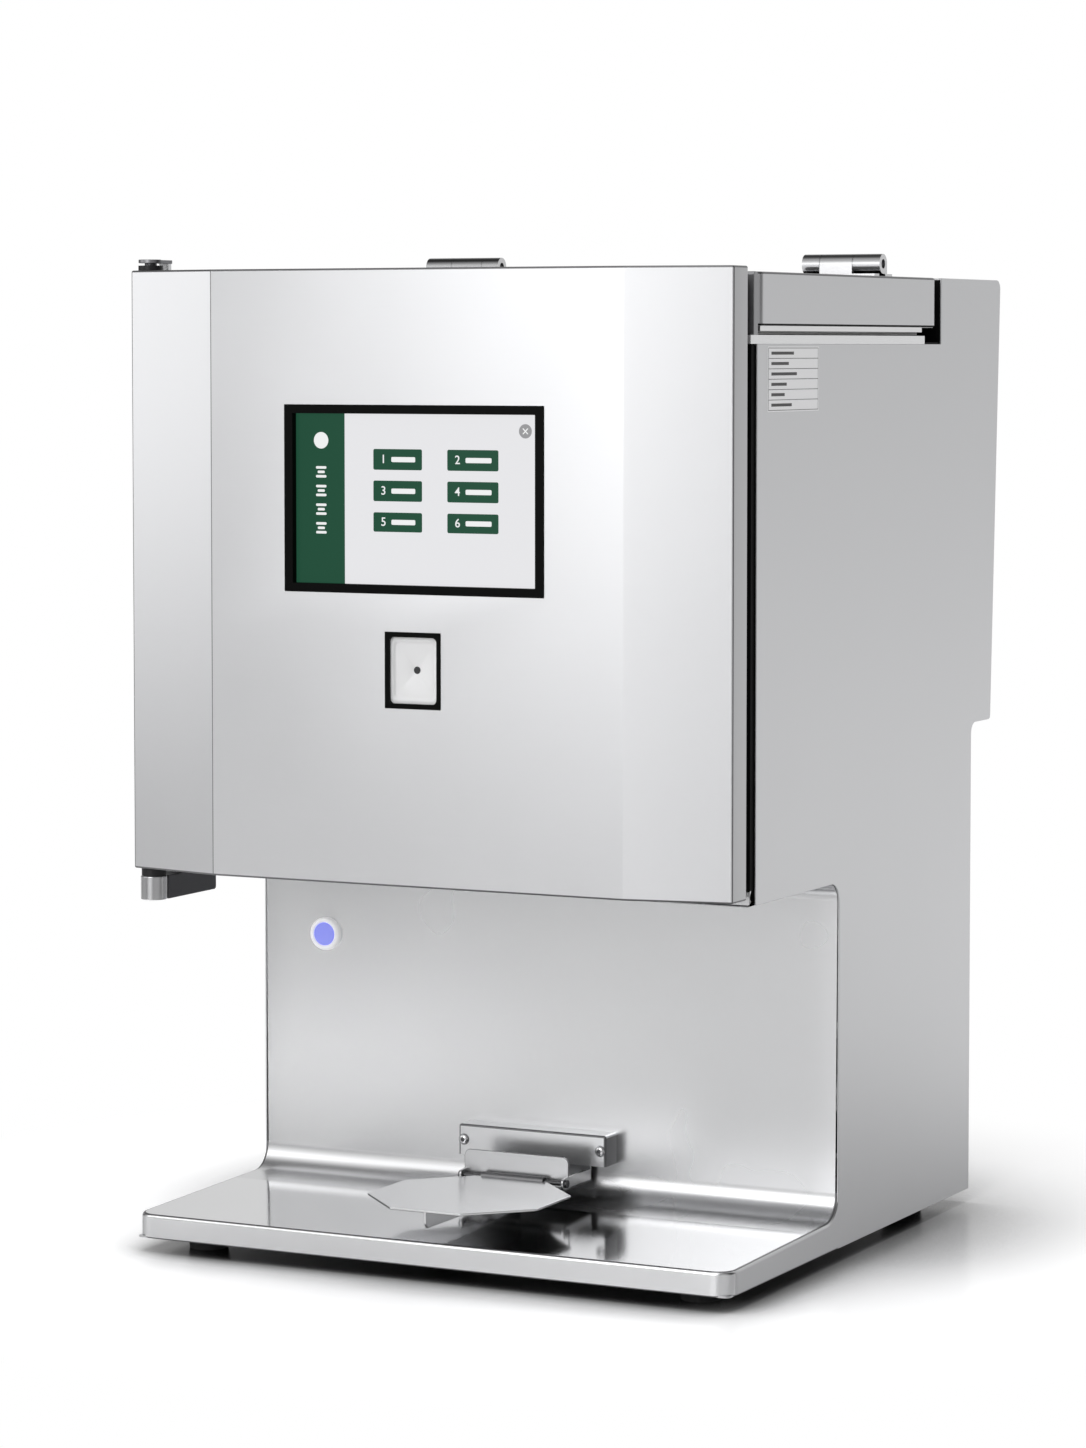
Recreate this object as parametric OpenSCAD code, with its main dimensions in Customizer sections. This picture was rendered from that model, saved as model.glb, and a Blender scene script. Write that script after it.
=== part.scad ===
// Counter-top yogurt dispenser: a chilled cabinet on a column over an open cup bay.
// It has a front door with a screen, a top lid, a fold-up cup rest and a roller pump.
// Millimetres, +Z up, the front faces -Y. The origin is on the counter, under the
// middle of the outline. Every module is drawn with Y = 0 at the cabinet front and
// is then shifted by cab_y.

/* [Casing] */
// Width over the two side panels
machine_w = 540; // [500:1:600]
// Steel sheet thickness of the casing
sheet_t = 1.5; // [1:0.1:2]
// Height of the rubber feet
foot_h = 12; // [6:1:30]
// Radius of the rubber feet at the top
foot_r = 18; // [12:1:26]
// Distance of the feet from the outer edges, to their centres
foot_inset = 45; // [35:1:70]

/* [Deck] */
// Reach of the deck in front of the cabinet front
deck_reach = 48; // [40:1:60]
// Height of the skirt at the front of the deck
skirt_h = 20; // [16:1:40]
// Rise of the deck from its front edge to the column, so that it drains
deck_rise = 4; // [0:0.5:8]
// Radius of the two front corners of the deck, seen from above
deck_corner_r = 6; // [4:1:25]
// Radius of the cove between deck and column
cove_r = 22; // [12:1:30]

/* [Bay and column] */
// Depth of the cup bay from the cabinet front to the column
bay_d = 168; // [162:1:190]
// Height of the cup bay from the deck at the column to the ceiling
bay_h = 277; // [250:1:320]
// Height of the hem at the front edge of the ceiling
hem_h = 12; // [8:0.5:14]
// Radius of the bend between column and ceiling
ceiling_r = 16; // [8:1:26]
// Depth of the column
column_d = 294; // [280:1:320]

/* [Chilled box] */
// Height of the box from the ceiling of the bay to the rim
box_h = 437; // [420:1:480]
// Depth of the box in front of the rear hood
box_d = 385.5; // [380:0.5:400]
// Depth of the rear hood behind the column, at its foot
hood_d = 46; // [36:0.5:74]
// How far the back of the rear hood leans out at its top
hood_lean = 19; // [0:1:30]
// Height of the foot of the rear hood above the ceiling of the bay
hood_step = 108; // [80:1:130]
// Inner radius under the foot of the rear hood
step_r = 10; // [4:1:16]
// Radius of the top rear corner
hood_corner_r = 8; // [4:1:14]
// Insulation thickness at the sides and the floor
wall_t = 36; // [28:1:40]
// Insulation thickness at the back
back_wall_t = 66.5; // [60:0.5:76]
// Sheet thickness of the cold liner
liner_t = 1; // [0.8:0.1:1.4]
// Thickness of the black front frame
frame_t = 7; // [5:0.5:9]
// Height of the rim that carries the tank
rim_t = 7; // [4:0.5:8]
// Width of the rim at the sides
rim_w = 48; // [44:1:54]
// Width of the rim at the back
rim_back_w = 38; // [34:1:42]
// Width of the rim behind the cabinet front
rim_front_w = 24; // [22:1:30]
// Depth of the dark gutter behind the rim
gutter_d = 37.5; // [32:0.5:42]

/* [Lid] */
// Height from the foot of the rim to the lower edge of the lid
lid_gap = 14; // [13:0.5:17]
// Height of the lid skin
lid_h = 42; // [36:1:44]
// Gap between the front rail and the lid, wide enough for its swing
lid_front_gap = 4.5; // [4.5:0.1:6]
// Gap between the lid and the rear hood
lid_back_gap = 11.5; // [10:0.5:14]
// Thickness of the plate under the lid
lid_plate_t = 4; // [3:0.5:4.5]
// Radius of the lid corners, seen from above
lid_corner_r = 6; // [3:1:12]
// Width of the lid gasket
lid_gasket_w = 18; // [12:1:20]
// Depth of the front rail between door and lid, behind the cabinet front
rail_back = 1; // [0.5:0.1:1]

/* [Door] */
// Gap between the cabinet front and the back edge of the door
door_gap = 19; // [17:0.5:22]
// Thickness of the door at its edges
door_edge_t = 25.7; // [23:0.1:32]
// Bulge of the flat middle in front of the edges
door_bow = 16.9; // [10:0.1:24]
// Width of the sloping band at each side
bevel_w = 85.5; // [60:0.5:110]
// Height of the lower door edge above the ceiling of the bay
door_lift = 6; // [5:0.5:10]
// Height of the door over the top of the lid
door_over = 4; // [2:0.5:5]
// Thickness of the door liner
door_liner_t = 2; // [1:0.1:3]
// Width of the door gasket
door_gasket_w = 22; // [16:1:24]
// Inset of the door gasket from the door edges
door_gasket_in = 9; // [8:0.5:12]

/* [Screen and scanner] */
// Width of the black screen frame
screen_w = 232.6; // [229:0.2:260]
// Height of the black screen frame
screen_h = 149.8; // [146:0.2:170]
// Height of the screen centre above the lower door edge
screen_up = 308; // [270:1:340]
// Visible width of the screen
view_w = 217; // [200:0.5:220]
// Visible height of the screen
view_h = 135.6; // [120:0.2:138]
// Depth of the screen glass behind the front of the door
screen_recess = 5.6; // [2:0.1:8]
// Width of the black scanner frame
scan_w = 50; // [46:1:64]
// Height of the black scanner frame
scan_h = 61; // [56:1:74]
// Height of the scanner centre above the lower door edge
scan_up = 172.7; // [120:0.1:200]
// Depth of the scanner window behind the front of the door
scan_recess = 2.6; // [1:0.1:4]
// How far both frames stand out from the door
frame_proud = 0.8; // [0.4:0.1:2]
// Lip of both frames over the door skin
frame_lip = 1.5; // [1:0.1:1.8]

/* [Door hinges] */
// Distance of the hinge axis from the left edge of the door
hinge_in = 11; // [11:0.5:14]
// Radius of the hinge barrel
barrel_r = 11; // [9.5:0.5:11]
// Radius of the hinge pins
door_pin_r = 5; // [3:0.5:6]
// Height of the lower hinge bracket
bracket_h = 19.5; // [16:0.5:30]
// Reach of the lower hinge bracket behind the cabinet front
bracket_d = 50; // [40:1:80]
// Thickness of the upper hinge plate
plate_t = 4.5; // [3:0.5:6]
// Height of the upper hinge plate above the door
plate_gap = 4.5; // [4:0.5:6]
// Width of the neck that joins the upper hinge plate to the front rail
plate_neck = 11; // [8:0.5:16]
// Depth of the hinge bushes in the door
bush_d = 26; // [16:1:40]
// Wall of the hinge bushes
bush_wall = 2.6; // [2:0.1:3]

/* [Lid hinges] */
// Distance of each lid hinge from the middle
lid_hinge_x = 183; // [150:1:215]
// Length of a lid hinge
lid_hinge_l = 72; // [60:1:90]
// Length of its middle knuckle
knuckle_l = 30; // [20:1:36]
// Shift of its middle knuckle towards the middle of the machine
knuckle_in = 4.5; // [0:0.5:8]
// Radius of its knuckles
knuckle_r = 8.5; // [7:0.5:10]
// Radius of its pin
lid_pin_r = 4; // [3:0.5:5]
// Thickness of its leaves
leaf_t = 4; // [3:0.5:4.5]
// Reach of its leaves from the hinge axis
leaf_reach = 20; // [18:1:40]

/* [Cup rest] */
// Width of the octagonal plate across its flats
oct_w = 154; // [130:1:160]
// Height of the plate top above the deck at the column
plate_up = 21; // [19:0.5:30]
// Thickness of the plate
oct_t = 2; // [1.5:0.1:3]
// Height of the rib under the plate
rib_h = 13; // [8:1:14]
// Radius of the fold pin
fold_pin_r = 2; // [1.5:0.1:2.5]
// Wall of the rolled knuckle around the fold pin
fold_wall = 2.2; // [1.6:0.1:2.4]
// Distance of the upstand of the carrier from the column
upstand_out = 49.5; // [46:0.5:56]
// Height of the upstand above the plate top
upstand_h = 20; // [12:1:26]
// Width of the carrier
carrier_w = 97; // [90:1:110]
// Height of the side cheeks of the carrier above the plate top
cheek_up = 4; // [2:0.5:8]
// Depth of the carrier floor below the plate top
carrier_low = 5; // [4.6:0.1:6]
// Width of the cover box on the column
cover_w = 138; // [132:1:160]
// Height of the cover box
cover_h = 26; // [24:1:40]
// Depth of the cover box
cover_d = 21; // [19.5:0.5:28]
// Height of the cover box above the plate top
cover_up = 9; // [6:0.5:12]
// Distance of the cover screws from the sides of the cover box
screw_in = 5; // [4.5:0.1:5.5]

/* [Start button] */
// Distance of the button from the left side
button_in = 61.4; // [35:0.2:150]
// Height of the button below the ceiling of the bay
button_down = 70; // [45:0.5:140]
// Radius of the white bezel
bezel_r = 14.2; // [13:0.1:18]
// How far the bezel stands out from the column
bezel_out = 5; // [3:0.1:8]
// Radius of the blue cap
cap_r = 9.8; // [7:0.1:9.8]
// Radius of the threaded barrel behind the panel
button_barrel_r = 11; // [10.8:0.1:12]
// Travel of the button
button_travel = 2.5; // [1:0.1:4]

/* [Tank] */
// Depth of the tank at its front wall
tank_d = 150; // [110:1:170]
// Rise of the tank floor towards the back
tank_rise = 18; // [5:1:40]
// Sheet thickness of the tank
tank_t = 1.2; // [0.8:0.1:1.5]
// Width of the flange that hangs on the rim
tank_flange = 16; // [8:1:17]

/* [Pump] */
// Distance of the pump axis from the middle, to the right
pump_x = 98; // [94:1:110]
// Height of the pump axis above the floor of the cold liner
pump_up = 78; // [70:1:95]
// Radius of the tube loop in the pump
loop_r = 38; // [37:0.5:40]
// Outer radius of the tube
tube_r = 8; // [7:0.1:8]
// Radius of the tube bore
tube_bore = 5; // [4:0.1:5]
// Radius of a pump roller
roller_r = 9; // [7:0.1:9.5]
// Radius of a roller axle
axle_r = 3; // [2:0.1:4]
// Width of the pump head
head_w = 116; // [112:1:130]
// Thickness of the clear pump cover
pump_cover_t = 4; // [3:0.5:6]
// Radius of the pump motor
motor_r = 28; // [20:1:32]
// Length of the pump motor
motor_l = 66; // [40:1:90]

/* [Nozzle] */
// Distance of the nozzle behind the cabinet front
nozzle_y = 40; // [39:0.5:46]
// How far the nozzle reaches below the ceiling of the bay
nozzle_out = 7; // [3:0.5:10]
// Radius of the nozzle body
nozzle_r = 14; // [11:0.5:16]
// Radius of the nozzle outlet bore
nozzle_bore = 6; // [4:0.5:8]

/* [Cooling] */
// Radius of the compressor shell
comp_r = 62; // [50:1:68]
// Height of the compressor shell
comp_h = 176; // [130:1:190]
// Radius of the fan blades
fan_r = 83; // [60:1:84]
// Number of fan blades
fan_blades = 7; // [5:1:9]
// Width of the condenser
cond_w = 220; // [190:1:230]
// Height of the condenser
cond_h = 214; // [190:1:220]
// Number of condenser fins
cond_fins = 23; // [12:1:28]
// Radius of the refrigerant pipes
pipe_r = 4; // [3:0.5:5]
// Number of passes of the evaporator pipe
evap_passes = 6; // [4:2:8]

/* [Electrics] */
// Distance of the mains inlet from the middle, to the left
inlet_x = 190; // [170:1:215]
// Height of the mains inlet centre above the base
inlet_up = 68; // [45:1:90]
// Half of the swing of the mains switch, in degrees
switch_tilt = 8; // [4:1:10]

/* [Fits] */
// Radial clearance of turning pins
run_gap = 0.05; // [0.02:0.01:0.1]
// Radial clearance of the sliding button cap
slide_gap = 0.1; // [0.05:0.01:0.15]
// Clearance of plates and bodies set into openings
fit_gap = 0.2; // [0.1:0.05:0.3]
// Clearance where a gasket or a stop comes to rest
rest_gap = 0.4; // [0.3:0.05:0.5]

/* [Hidden] */
$fn = 64;
w2 = machine_w / 2;
in_w2 = w2 - sheet_t;
base_z = foot_h;
deck_front_z = base_z + skirt_h;
deck_back_z = deck_front_z + deck_rise;
cove_z = deck_back_z + cove_r;
ceiling_z = deck_back_z + bay_h;
floor_z = ceiling_z + sheet_t;
foam_z = floor_z + sheet_t;
floor_lap = 30;
floor_front = bay_d - ceiling_r - floor_lap;
rim_z = ceiling_z + box_h;
rim_top = rim_z + rim_t;
lid_z = rim_z + lid_gap;
top_z = lid_z + lid_h;
column_back = bay_d + column_d;
hood_back = column_back + hood_d;
hood_top_back = hood_back + hood_lean;
step_z = ceiling_z + hood_step;

door_z = ceiling_z + door_lift;
door_top = top_z + door_over;
door_back = -door_gap;
door_edge = door_back - door_edge_t;
door_face = door_edge - door_bow;
bevel_a = atan(door_bow / bevel_w);
cab_y = -(hood_top_back + min(door_face, -deck_reach)) / 2;

liner_x = in_w2 - wall_t;
liner_y = box_d - back_wall_t;
liner_z = foam_z + wall_t;
rim_in = w2 - rim_w;
rim_back = box_d - gutter_d;
rim_open_y = rim_back - rim_back_w;
tab_l = 6;
tab_w = 5;

lid_front = rail_back + lid_front_gap;
lid_back = box_d - lid_back_gap;
lid_plate_z = lid_z - lid_plate_t;
lid_plate_y = lid_front + 4;
lid_t = 1.2;
plug_d = 15;
plug_in = 14;
tank_front = rim_front_w + 2;
tank_back = rim_open_y - 2;
tank_x = rim_in - 2;
lid_gasket_out = w2 - 6;

screen_z = door_z + screen_up;
scan_z = door_z + scan_up;
bezel_d = 14;
hinge_x = -w2 + hinge_in;
hinge_y = (door_back + door_edge) / 2;
bracket_top = ceiling_z - 1;
bracket_z = bracket_top - bracket_h;
washer_h = door_z - bracket_top - rest_gap;
hinge_plate_z = door_top + plate_gap;
bush_r = door_pin_r + bush_wall;
bush_flange_r = bush_r + 2.6;
lid_axis_y = (lid_back + box_d) / 2;
lid_axis_z = top_z + leaf_t + knuckle_r;
knuckle_gap = 0.4;
knuckle_x0 = lid_hinge_x - knuckle_in - knuckle_l / 2;
knuckle_x1 = lid_hinge_x - knuckle_in + knuckle_l / 2;

oct_top = deck_back_z + plate_up;
oct_z = oct_top - oct_t;
upstand_y = bay_d - upstand_out;
fold_r = fold_pin_r + fold_wall;
fold_y = upstand_y - fold_r - 0.8;
fold_z = oct_top - oct_t / 2;
oct_y = fold_y - 2.5 - oct_w / 2;
carrier_z = oct_top - carrier_low;
carrier_back = bay_d - 6;
cover_z = oct_top + cover_up;
cover_y = bay_d - cover_d;
screw_x = cover_w / 2 - screw_in;
screw_z = cover_z + cover_h / 2;
screw_r = 2;
screw_head_r = 4.8;
screw_head_h = 2.6;
hex_d = 1.6;
hex_r = 1.8;
ear_t = 2;
ear_x = carrier_w / 2 - ear_t;
cell_l = 92;
cell_h = 12;
cell_end = 24;

button_x = machine_w / 2 - button_in;
button_z = ceiling_z - button_down;
button_l = 30;
stem_r = 4;

pump_z = liner_z + liner_t + pump_up;
pump_y = nozzle_y;
head_up = 22;
head_top = pump_z + head_up;
head_front = pump_y - tube_r - 8;
head_back = pump_y + tube_r + 16;
pocket_back = pump_y + tube_r + 7;
rotor_half = tube_r + 5;
rotor_r = loop_r - tube_r - 2;
roller_orbit = loop_r - tube_r - 0.3 - roller_r;
shaft_r = 6;
shaft_reach = 24;
gear_w = 60;
gear_d = 42;
inlet_tube_x = pump_x + loop_r;
arch_x = (pump_x - loop_r) / 2;
arch_r = (pump_x - loop_r) / 2;
arch_z = head_top + tube_r;
tank_low = rim_top - tank_d;
spout_z = tank_low - 22;
spout_barb = 20;
barb_r = tube_bore - 0.1;
nozzle_flange_z = liner_z + liner_t;
nozzle_flange_h = 5;
nozzle_neck = nozzle_flange_z + nozzle_flange_h;
nozzle_hole_r = nozzle_r + fit_gap;

comp_side = 88.5;
comp_in = 146;
comp_feet_h = 22;
comp_feet_r = 10;
comp_foot_out = 18;
comp_foot_w = 80;
comp_foot_t = 7;
comp_dome = 32;
comp_x = -in_w2 + comp_side + comp_r;
comp_y = bay_d + comp_in;
comp_z = base_z + sheet_t + comp_feet_h;
cond_side = 30.5;
cond_back = 30;
cond_feet_h = 26;
cond_plate_t = 3;
fin_t = 1;
cond_x = in_w2 - cond_side - cond_w / 2;
cond_d = 40;
cond_y = column_back - sheet_t - cond_back - cond_d;
cond_z = base_z + sheet_t + cond_feet_h;
fan_d = 40;
fan_y = cond_y - fan_d;
fan_z = cond_z + cond_h / 2;
fan_wall = 9;
fan_box = 2 * (fan_r + fan_wall);
fan_tip_gap = 3;
fan_seat_l = 14;
fan_seat_r = 20;
fan_shaft_r = 4;
fan_hub_r = 24;
fan_hub_l = 21;
fan_hub_y = fan_y + fan_seat_l + 1;
blade_w = 40;
blade_t = 2;
blade_pitch = 28;
spoke_w = 8;
spoke_t = 4;
evap_side = 62.5;
evap_up = 48;
evap_t = 2;
evap_w = 2 * (liner_x - evap_side);
evap_h = 200;
evap_z = liner_z + evap_up;
evap_y = liner_y - liner_t;
pass_gap = evap_h / evap_passes;
pipe_sink = 0.5;
bend_in = 24;
pipe_y = evap_y - evap_t - pipe_r + pipe_sink;
pipe_x = evap_w / 2 - bend_in;
low_pass_z = evap_z + pass_gap / 2;
high_pass_z = evap_z + evap_h - pass_gap / 2;
pipe_hole_gap = 2;
pipe_hole_r = pipe_r + pipe_hole_gap;
comp_top = comp_z + comp_h;
cond_top = cond_z + cond_h;
dome_z = comp_top - comp_dome;
line_up = 28;
line_z = cond_top + line_up;
suction_up = 50;
suction_z = comp_top + suction_up;
hot_x = comp_x + comp_r / 2;
pipe_gap = 4;
liquid_y = box_d + sheet_t + pipe_gap + pipe_r;
suction_y = liquid_y + 2 * pipe_r + pipe_gap;
cond_mid_y = cond_y + cond_d / 2;
liquid_x = cond_x - cond_w / 4;

inlet_z = base_z + inlet_up;
inlet_w = 50;
inlet_h = 64;
inlet_lip = 3;
switch_up = 18;
switch_in = 3;
switch_z = inlet_z + switch_up;
switch_y = column_back - switch_in;
switch_pin_r = 2;

steel = "silver";
bright = "gainsboro";
black = [0.06, 0.06, 0.065];
white = "white";

// Shared shapes

// Moves a piece from the cabinet front to the origin of the part.
module placed() translate([0, cab_y, 0]) children();

// Points of an arc about c, from angle a0 to a1.
function arc(c, r, a0, a1, n = 10) =
    [for (i = [0 : n]) let (a = a0 + (a1 - a0) * i / n) [c[0] + r * cos(a), c[1] + r * sin(a)]];

// An outline in Y and Z, drawn out evenly to both sides of the middle.
module across(w) rotate([90, 0, 90]) linear_extrude(w, center = true) children();

// An outline in Y and Z, drawn out from x0 to x1.
module along_x(x0, x1) translate([x0, 0, 0]) rotate([90, 0, 90]) linear_extrude(x1 - x0) children();

// An outline in X and Y, drawn out from z0 to z1.
module plan(z0, z1) translate([0, 0, z0]) linear_extrude(z1 - z0) children();

// An outline in X and Z, drawn out from y0 to y1.
module facing(y0, y1) translate([0, y1, 0]) rotate([90, 0, 0]) linear_extrude(y1 - y0) children();

// A box between two corners.
module block(lo, hi) translate(lo) cube(hi - lo);

module rod_x(x0, x1, y, z, r) translate([x0, y, z]) rotate([0, 90, 0]) cylinder(h = x1 - x0, r = r);
module rod_y(y0, y1, x, z, r) translate([x, y1, z]) rotate([90, 0, 0]) cylinder(h = y1 - y0, r = r);
module rod_z(z0, z1, x, y, r) translate([x, y, z0]) cylinder(h = z1 - z0, r = r);

// A rectangle about c.
module rect(c, w, h) translate([c[0] - w / 2, c[1] - h / 2]) square([w, h]);

// A rectangle about c with round corners.
function soft_rect(c, w, h, r) = concat(
    arc([c[0] + w / 2 - r, c[1] + h / 2 - r], r, 0, 90, 6),
    arc([c[0] - w / 2 + r, c[1] + h / 2 - r], r, 90, 180, 6),
    arc([c[0] - w / 2 + r, c[1] - h / 2 + r], r, 180, 270, 6),
    arc([c[0] + w / 2 - r, c[1] - h / 2 + r], r, 270, 360, 6));

// The piece and its mirror image.
module both() {
    children();
    mirror([1, 0, 0]) children();
}

// Casing

// The space under the deck and its cove, drawn in by s and closed at end and low.
function deck_shape(s, low, end) = concat(
    [[-deck_reach + s, low], [-deck_reach + s, deck_front_z - s]],
    arc([bay_d - cove_r, cove_z], cove_r + s, -90, 0, 12),
    end > bay_d + s ? [[end, cove_z]] : [],
    [[end, low]]);

// The deck seen from above, drawn in by s.
function deck_plan(s, back) = concat(
    [[w2 - s, back]],
    arc([w2 - deck_corner_r, -deck_reach + deck_corner_r], deck_corner_r - s, 0, -90, 8),
    arc([-w2 + deck_corner_r, -deck_reach + deck_corner_r], deck_corner_r - s, -90, -180, 8),
    [[-w2 + s, back]]);

// The column front, the bend above it and the ceiling of the bay.
function splash_shape() = concat(
    [[bay_d, cove_z]],
    arc([bay_d - ceiling_r, ceiling_z - ceiling_r], ceiling_r, 0, 90),
    [[-frame_t, ceiling_z], [-frame_t, floor_z]],
    arc([bay_d - ceiling_r, ceiling_z - ceiling_r], ceiling_r + sheet_t, 90, 0),
    [[bay_d + sheet_t, cove_z]]);

// The front edge of the ceiling, turned up and closed at its ends.
module front_hem() difference() {
    block([-in_w2, -frame_t, ceiling_z], [in_w2, 0, ceiling_z + hem_h]);
    block([-in_w2 + sheet_t, -frame_t + sheet_t, floor_z],
          [in_w2 - sheet_t, 1, ceiling_z + hem_h - sheet_t]);
}

module deck_and_splash() color(steel) difference() {
    union() {
        intersection() {
            union() {
                across(machine_w) polygon(deck_shape(0, base_z, bay_d));
                across(2 * in_w2) polygon(deck_shape(0, base_z, bay_d + sheet_t));
            }
            plan(base_z, ceiling_z) polygon(deck_plan(0, bay_d + sheet_t));
        }
        across(2 * in_w2) polygon(splash_shape());
        front_hem();
    }
    intersection() {
        across(2 * in_w2) polygon(deck_shape(sheet_t, base_z - 1, bay_d + sheet_t + 1));
        plan(base_z - 1, ceiling_z) polygon(deck_plan(sheet_t, bay_d + sheet_t + 1));
    }
    rod_y(bay_d - 1, bay_d + sheet_t + 1, -button_x, button_z, button_barrel_r + fit_gap);
    rod_z(ceiling_z - 1, floor_z + 1, 0, nozzle_y, nozzle_hole_r);
    both() rod_y(bay_d - 1, bay_d + sheet_t + 1, screw_x, screw_z, screw_r + fit_gap);
}

module base_plate() color(steel)
    plan(base_z, base_z + sheet_t)
        polygon(deck_plan(sheet_t + fit_gap, column_back - sheet_t - fit_gap));

module rubber_feet() color(black)
    both() for (y = [-deck_reach + foot_inset, column_back - foot_inset])
        translate([w2 - foot_inset, y, 0]) cylinder(h = foot_h, r1 = foot_r - 2, r2 = foot_r);

// The side of the machine behind the deck, seen along X.
function side_shape() = concat(
    [[bay_d, base_z], [column_back, base_z]],
    arc([column_back + step_r, step_z - step_r], step_r, 180, 90),
    arc([hood_back - hood_foot_r, step_z + hood_foot_r], hood_foot_r, -90, 0, 5),
    arc([hood_top_back - hood_corner_r, top_z - hood_corner_r], hood_corner_r, 0, 90, 8),
    [[box_d, top_z], [box_d, rim_z], [0, rim_z], [0, ceiling_z]],
    arc([bay_d - ceiling_r, ceiling_z - ceiling_r], ceiling_r, 90, 0));

module left_side_panel() color(steel) along_x(-w2, -in_w2) polygon(side_shape());
module right_side_panel() color(steel) along_x(in_w2, w2) polygon(side_shape());

// The floor of the chilled box behind the bay. Its front lies on the ceiling sheet.
module box_floor() color(steel)
    block([-in_w2, floor_front, floor_z], [in_w2, box_d, foam_z]);

vent_rows = 12;
vent_pitch = 15;
vent_h = 6;
vent_w = 180;
vent_up = 16;

module lower_back_panel() color(steel) difference() {
    block([-in_w2, column_back - sheet_t, base_z], [in_w2, column_back, step_z - step_r]);
    for (i = [0 : vent_rows - 1])
        translate([cond_x - vent_w / 2, column_back - sheet_t - 1, cond_z + vent_up + i * vent_pitch])
            cube([vent_w, sheet_t + 2, vent_h]);
    facing(column_back - sheet_t - 1, column_back + 1)
        rect([-inlet_x, inlet_z], inlet_w - 2 * inlet_lip, inlet_h - 2 * inlet_lip);
}

// The rear hood seen along X, drawn in by s, with its open front at y and its foot at low.
function hood_shape(s, y, low) = concat(
    [[y, low], [column_back - s, low]],
    arc([column_back + step_r, step_z - step_r], step_r + s, 180, 90),
    arc([hood_back - hood_foot_r, step_z + hood_foot_r], hood_foot_r - s, -90, 0, 5),
    arc([hood_top_back - hood_corner_r, top_z - hood_corner_r], hood_corner_r - s, 0, 90, 8),
    [[y, top_z - s]]);

hood_vents = 9;
hood_vent_w = 220;
hood_vent_up = 180;
hood_foot_r = 4;

module rear_hood() color(steel) difference() {
    across(2 * in_w2) polygon(hood_shape(0, box_d, step_z - step_r));
    across(2 * in_w2 + 2) polygon(hood_shape(sheet_t, box_d - 1, step_z - step_r - 1));
    for (i = [0 : hood_vents - 1])
        translate([0, 0, step_z + hood_vent_up + i * vent_pitch])
            block([-hood_vent_w / 2, hood_back - hood_foot_r, 0],
                  [hood_vent_w / 2, hood_top_back + 1, vent_h]);
}

module bulkhead() color(steel) difference() {
    block([-in_w2, box_d, floor_z], [in_w2, box_d + sheet_t, top_z - sheet_t]);
    rod_y(box_d - 1, box_d + sheet_t + 1, -pipe_x, high_pass_z, pipe_hole_r);
    rod_y(box_d - 1, box_d + sheet_t + 1, -pipe_x, low_pass_z, pipe_hole_r);
}

// Chilled box

module insulation() color("khaki") difference() {
    block([-in_w2, 0, foam_z], [in_w2, box_d, rim_z]);
    block([-liner_x, -1, liner_z], [liner_x, liner_y, rim_z + 1]);
    rod_z(foam_z - 1, liner_z + 1, 0, nozzle_y, nozzle_hole_r);
    for (z = [low_pass_z, high_pass_z]) rod_y(liner_y - 1, box_d + 1, -pipe_x, z, pipe_hole_r);
}

module cold_liner() color(bright) difference() {
    block([-liner_x, 0, liner_z], [liner_x, liner_y, rim_z]);
    block([-liner_x + liner_t, -1, liner_z + liner_t], [liner_x - liner_t, liner_y - liner_t, rim_z + 1]);
    rod_z(liner_z - 1, liner_z + liner_t + 1, 0, nozzle_y, nozzle_hole_r);
    for (z = [low_pass_z, high_pass_z])
        rod_y(liner_y - liner_t - 1, liner_y + 1, -pipe_x, z, pipe_hole_r);
}

// The black frame around the door opening and the black strip in the rear gutter.
module breaker_strips() color(black) {
    difference() {
        block([-w2 + 2, -frame_t, ceiling_z + hem_h], [w2 - 2, 0, rim_z]);
        block([-liner_x + liner_t, -frame_t - 1, liner_z + liner_t], [liner_x - liner_t, 1, rim_z + 1]);
    }
    block([-in_w2, rim_back, rim_z], [in_w2, box_d, rim_z + sheet_t]);
}

// The inverted channel between the door and the lid, with its top corners rounded.
function rail_shape(s, low, r) = concat(
    [[-frame_t + s, low], [rail_back - s, low]],
    arc([rail_back - s - r, top_z - s - r], r, 0, 90, 6),
    arc([-frame_t + s + r, top_z - s - r], r, 90, 180, 6));

module front_rail() color(bright) difference() {
    across(machine_w) polygon(rail_shape(0, rim_top, 3));
    across(2 * in_w2) polygon(rail_shape(sheet_t, rim_top - 1, 1.5));
}

module top_rim() color(bright) {
    difference() {
        block([-w2, -frame_t, rim_z], [w2, rim_back, rim_top]);
        block([-rim_in, rim_front_w, rim_z - 1], [rim_in, rim_open_y, rim_top + 1]);
    }
    both() block([w2 - tab_w, -frame_t - tab_l, rim_z], [w2, -frame_t + 1, rim_top]);
}

module yogurt_tank() color(bright) difference() {
    union() {
        across(2 * tank_x)
            polygon([[tank_front, tank_low], [tank_back, tank_low + tank_rise],
                     [tank_back, rim_top + tank_t], [tank_front, rim_top + tank_t]]);
        block([-tank_x - tank_flange, tank_front - 10, rim_top],
              [tank_x + tank_flange, tank_back + tank_flange, rim_top + tank_t]);
        rod_z(spout_z, tank_low + 4, inlet_tube_x, pump_y, 10);
        rod_z(spout_z - spout_barb, spout_z + 1, inlet_tube_x, pump_y, barb_r);
    }
    across(2 * (tank_x - tank_t))
        polygon([[tank_front + tank_t, tank_low + tank_t],
                 [tank_back - tank_t, tank_low + tank_rise + tank_t],
                 [tank_back - tank_t, rim_top + tank_t + 1], [tank_front + tank_t, rim_top + tank_t + 1]]);
    rod_z(spout_z - spout_barb - 1, tank_low + 9, inlet_tube_x, pump_y, 3.5);
}

// Roller pump

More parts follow.
